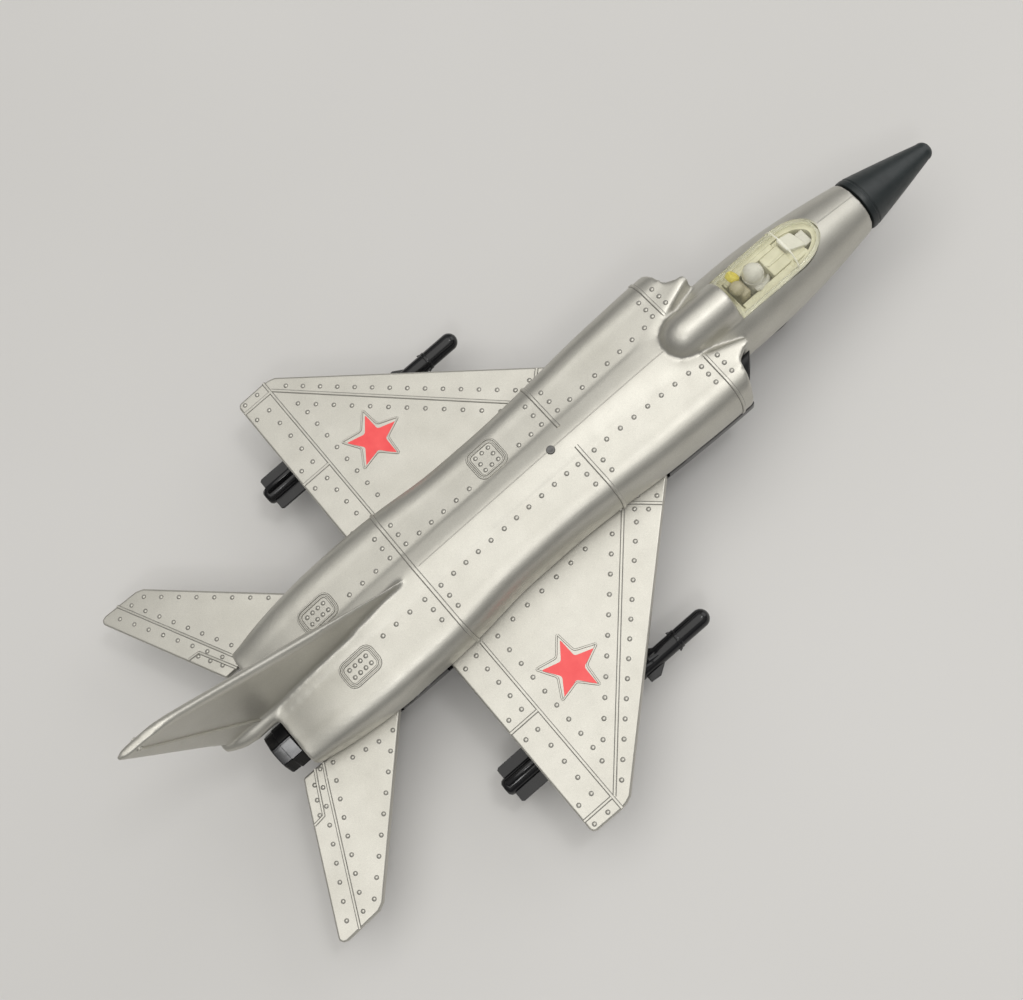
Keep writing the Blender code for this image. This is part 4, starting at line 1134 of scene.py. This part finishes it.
def nozzles():
    """Each exhaust is a ring of flat petals round a closed throat."""
    length, rim = BODY_REAR_X - GAP - NOZZLE_END_X, NOZZLE_RADIUS
    profile = [
        (0, length + 2.4), (3.3, length + 2.4), (3.3, length), (rim - 0.15, length), (rim, length - 0.3),
        (rim, 1.9), (rim - 0.2, 1.75), (rim - 0.2, 1.5), (rim - 0.3, 0.15), (rim - 0.42, 0.0),
        (rim - 0.95, 0.0), (rim - 1.1, 0.2), (rim - 1.15, length - 1.2), (1.6, length - 1.1),
        (1.2, 2.1), (0.7, 1.4), (0, 1.2),
    ]
    for side, name in SIDES:
        start = (NOZZLE_END_X, side * NOZZLE_Y, NOZZLE_Z)
        mesh = turned(profile, start, FORWARD, PETALS * 24, petalled)
        new_piece(f"{name}_nozzle_petals", mesh, BLACK, replaces=f"{name}_nozzle", sharp=18)


def fin_prism(bm, outline, lay, half_thickness):
    """A fin whose edges are chamfered to about half its thickness."""
    middle = sum((Vector(point) for point in outline), Vector((0, 0))) / len(outline)
    rings = []
    for inset, w in ((0.12, -1.0), (0.0, -0.55), (0.0, 0.55), (0.12, 1.0)):
        drawn_in = [Vector(point) + (middle - Vector(point)).normalized() * inset for point in outline]
        rings.append([lay(u, v, w * half_thickness) for u, v in drawn_in])
    loft_into(bm, rings)


def missiles():
    tail, radius, z = MISSILE_TAIL_X, MISSILE_RADIUS, MISSILE_Z
    length, ring = MISSILE_NOSE_X - tail, MISSILE_RING_X - tail
    profile = [(0, length)]
    profile += [(radius * sin(a), length - radius * (1 - cos(a))) for a in spread(0.15, pi / 2, 12)]
    for offset, size in ((0.35, 0.0), (0.28, 0.1), (0.2, 0.13), (-0.2, 0.13), (-0.28, 0.1), (-0.35, 0.0)):
        profile.append((radius + size, ring + offset))
    profile += [(radius, 13.4), (radius - 0.12, 13.2), (radius - 0.12, 12.9), (radius, 12.7), (radius, 0.8),
                (radius - 0.15, 0.3), (radius - 0.5, 0), (0.7, 0), (0.6, 0.8), (0, 0.8)]
    reach = 3.6
    tail_half = [(tail + 12.5, radius - 0.4), (tail + 10.7, reach - 0.3), (tail + 10.2, reach),
                 (tail + 1.3, reach), (tail + 0.9, reach - 0.3)]
    tail_fin = [(u, -v) for u, v in reversed(tail_half)] + tail_half
    mid_fin = [(25.6, -2.9), (28.2, -1.2), (28.2, 1.2), (25.6, 2.9), (23.6, 2.7), (23.6, -2.7)]
    foreplane = [(30.8, -2.05), (31.4, -1.85), (31.4, 1.85), (30.8, 2.05)]
    wing_low = -WING_THICKNESS - WING_ANHEDRAL * (MISSILE_Y - WING_ROOT_Y) - 0.35
    pylon = [(3.5, z), (28.5, z + radius - 0.4), (26.4, z + radius + 0.1), (25.2, z + radius + 0.5),
             (23.2, wing_low), (3.5, wing_low)]
    for side, name in SIDES:
        y = side * MISSILE_Y
        bm = bmesh.new()
        turn_into(bm, profile, (tail, y, z), FORWARD, 40)
        for outline in (tail_fin, mid_fin, foreplane):
            fin_prism(bm, outline, lambda u, v, w: (u, y + v, z + w), 0.35)
        fin_prism(bm, tail_fin, lambda u, v, w: (u, y + w, z + v), 0.375)
        fin_prism(bm, mid_fin, lambda u, v, w: (u, y + w, z + v), 0.3)
        fin_prism(bm, pylon, lambda u, v, w: (u, y + w, v), 0.65)
        new_piece(f"{name}_missile_and_pylon", mesh_from(bm), BLACK, replaces=f"{name}_missile")


def rivet_heads():
    """The rivets' domed heads under the belly and the flat end on the spine."""
    head = BELLY_Z - 0.15
    for name, x in RIVET_XS.items():
        top = (spine_z(x) + 0.25 if name == "centre_rivet" else flat_z(x) - 3.0) - head
        profile = [(0, top - 0.05), (0.35, top - 0.05), (0.5, top), (0.68, top - 0.03), (0.78, top - 0.25),
                   (0.72, top - 0.5), (0.72, 0), (1.66, 0), (1.7, -0.08), (1.6, -0.32), (1.25, -0.53),
                   (0.8, -0.63), (0, -0.65)]
        new_piece(name + "_body", turned(profile, (x, 0, head), UP, 40), RIVET_STEEL, replaces=name)


# Landing gear


def wheel(name, centre, radius, width, body, bore):
    """A black wheel with a grooved tread, a dished hub and a ring of bolt heads."""
    half = width / 2
    hub = ((0.2, 0.82), (0.24, 0.62), (0.44, 0.5), (0.5, 0.62), (0.58, 0.66), (0.62, 0.9), (0.72, 1.0),
           (0.86, 0.98), (0.95, 0.8), (0.99, 0.5))
    tread = ((0.0, 0.42), (0.0, 0.3), (0.12, 0.24), (0.12, 0.14), (0.0, 0.08))
    side = [(bore, half * 0.8)] + [(radius * share, half * out) for share, out in hub]
    side += [(radius - depth, half * out) for depth, out in tread]
    bm = bmesh.new()
    turn_into(bm, side + [(r, -d) for r, d in reversed(side)] + side[:1], centre, TO_PORT, 56)
    bolt = [(0, -0.1), (0.2, -0.1), (0.2, 0.12), (0.13, 0.2), (0, 0.2)]
    ring = radius * 0.34
    for sign in (1, -1):
        for a in circle(5):
            spot = Vector(centre) + Vector((ring * cos(a), sign * half * 0.52, ring * sin(a)))
            turn_into(bm, bolt, spot, (0, sign, 0), 12)
    new_piece(name + "_tyre", mesh_from(bm), TYRE, body=body, replaces=name)


def leg(bm, x, y, radius, axle_z, foot, hub_half, hub_radius):
    """A strut with its sliding tube, two collars, a torque link and the hub that holds the axle."""
    top = foot - axle_z
    strut = [(0, top), (radius, top), (radius, 3.9), (radius + 0.22, 3.8), (radius + 0.22, 3.2),
             (radius, 3.1), (radius * 0.72, 3.0), (radius * 0.72, 0.8), (0, 0.8)]
    turn_into(bm, strut, (x, y, axle_z), UP, 32)
    flange = [(0, 0), (1.9, 0), (2.05, 0.12), (2.05, 0.45), (1.9, 0.58), (0, 0.58)]
    turn_into(bm, flange, (x, y, foot - 1.0), UP, 40)
    bore = AXLE_RADIUS + 0.1
    hub = [(bore, hub_half), (hub_radius - 0.2, hub_half), (hub_radius, hub_half - 0.2),
           (hub_radius, 0.2 - hub_half), (hub_radius - 0.2, -hub_half), (bore, -hub_half), (bore, hub_half)]
    turn_into(bm, hub, (x, y, axle_z), TO_PORT, 32)
    link = [(-0.6, 0.0, 3.5), (-1.0, -1.1, 2.4), (-0.5, 0.0, 1.0), (-0.5, 0.0, 1.5), (-1.0, -0.5, 2.4),
            (-0.6, 0.0, 3.0)]
    link = [(x + radius * share + offset, axle_z + height) for share, offset, height in link]
    prism_into(bm, link, -0.35, 0.35, lambda u, v, w: (u, y + w, v))


def undercarriage():
    bm = bmesh.new()
    axle_z = NOSE_WHEEL_RADIUS - RIDE_HEIGHT
    leg(bm, NOSE_GEAR_X, 0, 1.1, axle_z, -1.3, 1.35, 1.5)
    new_piece("nose_strut", mesh_from(bm), STEEL, replaces="nose_leg")
    pin = [(0, 7), (0.45, 7), (0.6, 6.85), (0.6, 0.15), (0.45, 0), (0, 0)]
    pin = turned(pin, (NOSE_GEAR_X, -3.5, axle_z), TO_PORT, 24)
    new_piece("nose_pin", pin, STEEL, body="nose_wheels", replaces="nose_axle")
    for side, name in SIDES:
        centre = (NOSE_GEAR_X, side * NOSE_WHEEL_Y, axle_z)
        wheel(f"{name}_nose_wheel", centre, NOSE_WHEEL_RADIUS, 1.7, "nose_wheels", AXLE_RADIUS + 0.05)
    axle_z = MAIN_WHEEL_RADIUS - RIDE_HEIGHT
    inner_y = MAIN_LEG_Y - 1.4
    tip = MAIN_WHEEL_Y + 2.0 - inner_y
    stub = [(0, tip), (0.7, tip), (1.0, tip - 0.08), (1.2, tip - 0.3), (1.2, tip - 0.6),
            (AXLE_RADIUS, tip - 0.6), (AXLE_RADIUS, 0.1), (AXLE_RADIUS - 0.1, 0), (0, 0)]
    for side, name in SIDES:
        bm = bmesh.new()
        leg(bm, MAIN_GEAR_X, side * MAIN_LEG_Y, 1.3, axle_z, -2.3, 1.2, 1.6)
        new_piece(f"{name}_main_strut", mesh_from(bm), STEEL, replaces=f"{name}_main_leg")
        pin = turned(stub, (MAIN_GEAR_X, side * inner_y, axle_z), (0, side, 0), 24)
        new_piece(f"{name}_main_pin", pin, STEEL, replaces=f"{name}_main_axle")
        centre = (MAIN_GEAR_X, side * MAIN_WHEEL_Y, axle_z)
        wheel(f"{name}_main_wheel", centre, MAIN_WHEEL_RADIUS, 2.3, f"{name}_wheel", AXLE_RADIUS + 0.09)


# Floor, light and camera


def light(name, kind, spot, towards, **settings):
    data = bpy.data.lights.new(name, kind)
    configure(data, **settings)
    lamp = add_object(name, data)
    lamp.location = spot
    lamp.rotation_euler = towards.to_track_quat("-Z", "Y").to_euler()


def studio():
    bpy.ops.mesh.primitive_plane_add(size=30.0, location=(0, 0, 0))
    floor = bpy.context.object
    floor.name = "floor"
    grey = surface("floor_grey", ((6, 3), (0.62, 0.61, 0.595), (0.66, 0.65, 0.635)), Roughness=0.75)
    floor.data.materials.append(grey)
    world = bpy.data.worlds.new("studio")
    bpy.context.scene.world = world
    world.use_nodes = True
    background = world.node_tree.nodes["Background"]
    background.inputs["Color"].default_value = (0.80, 0.81, 0.82, 1)
    background.inputs["Strength"].default_value = 0.15
    sunward, warm_white = Vector((-0.06, -0.04, -1.0)), (1.0, 0.985, 0.95)
    for name, power, breadth in (("overhead", 1.42, 72), ("open_sky", 0.6, 130)):
        light(name, "SUN", (0, 0, 0), sunward, energy=power, angle=radians(breadth), color=warm_white)
    for name, spot, size, power in (
        ("horizon", (1.0, 0.05, 0.45), 0.8, 2.6),
        ("front_window", (0.25, -0.1, 0.7), 0.12, 0.5),
        ("rear_window", (-0.20, -0.34, 0.61), 0.1, 0.35),
    ):
        light(name, "AREA", spot, Vector((0, 0, 0.01)) - Vector(spot), energy=power, size=size)


def camera():
    """Looks steeply down from starboard, rolled so that the nose points up and to the right."""
    eye, aim, roll = place(17.65, -72.3, 238.5), place(26.07, 1.31, 0.0), radians(-34.78)
    data = bpy.data.cameras.new("camera")
    configure(data, sensor_width=36.0, lens=51.02, clip_start=0.01)
    view = add_object("camera", data)
    turn = (aim - eye).to_track_quat("-Z", "Y").to_matrix() @ Matrix.Rotation(roll, 3, "Z")
    view.matrix_world = Matrix.Translation(eye) @ turn.to_4x4()
    bpy.context.scene.camera = view


for build in (
    flat_details, body_details, wings, belly_details, intake_ducts, nose_cone, canopy, cockpit, pilot,
    nozzles, missiles, rivet_heads, undercarriage, studio, camera,
):
    build()
bpy.context.scene.view_settings.view_transform = "Standard"
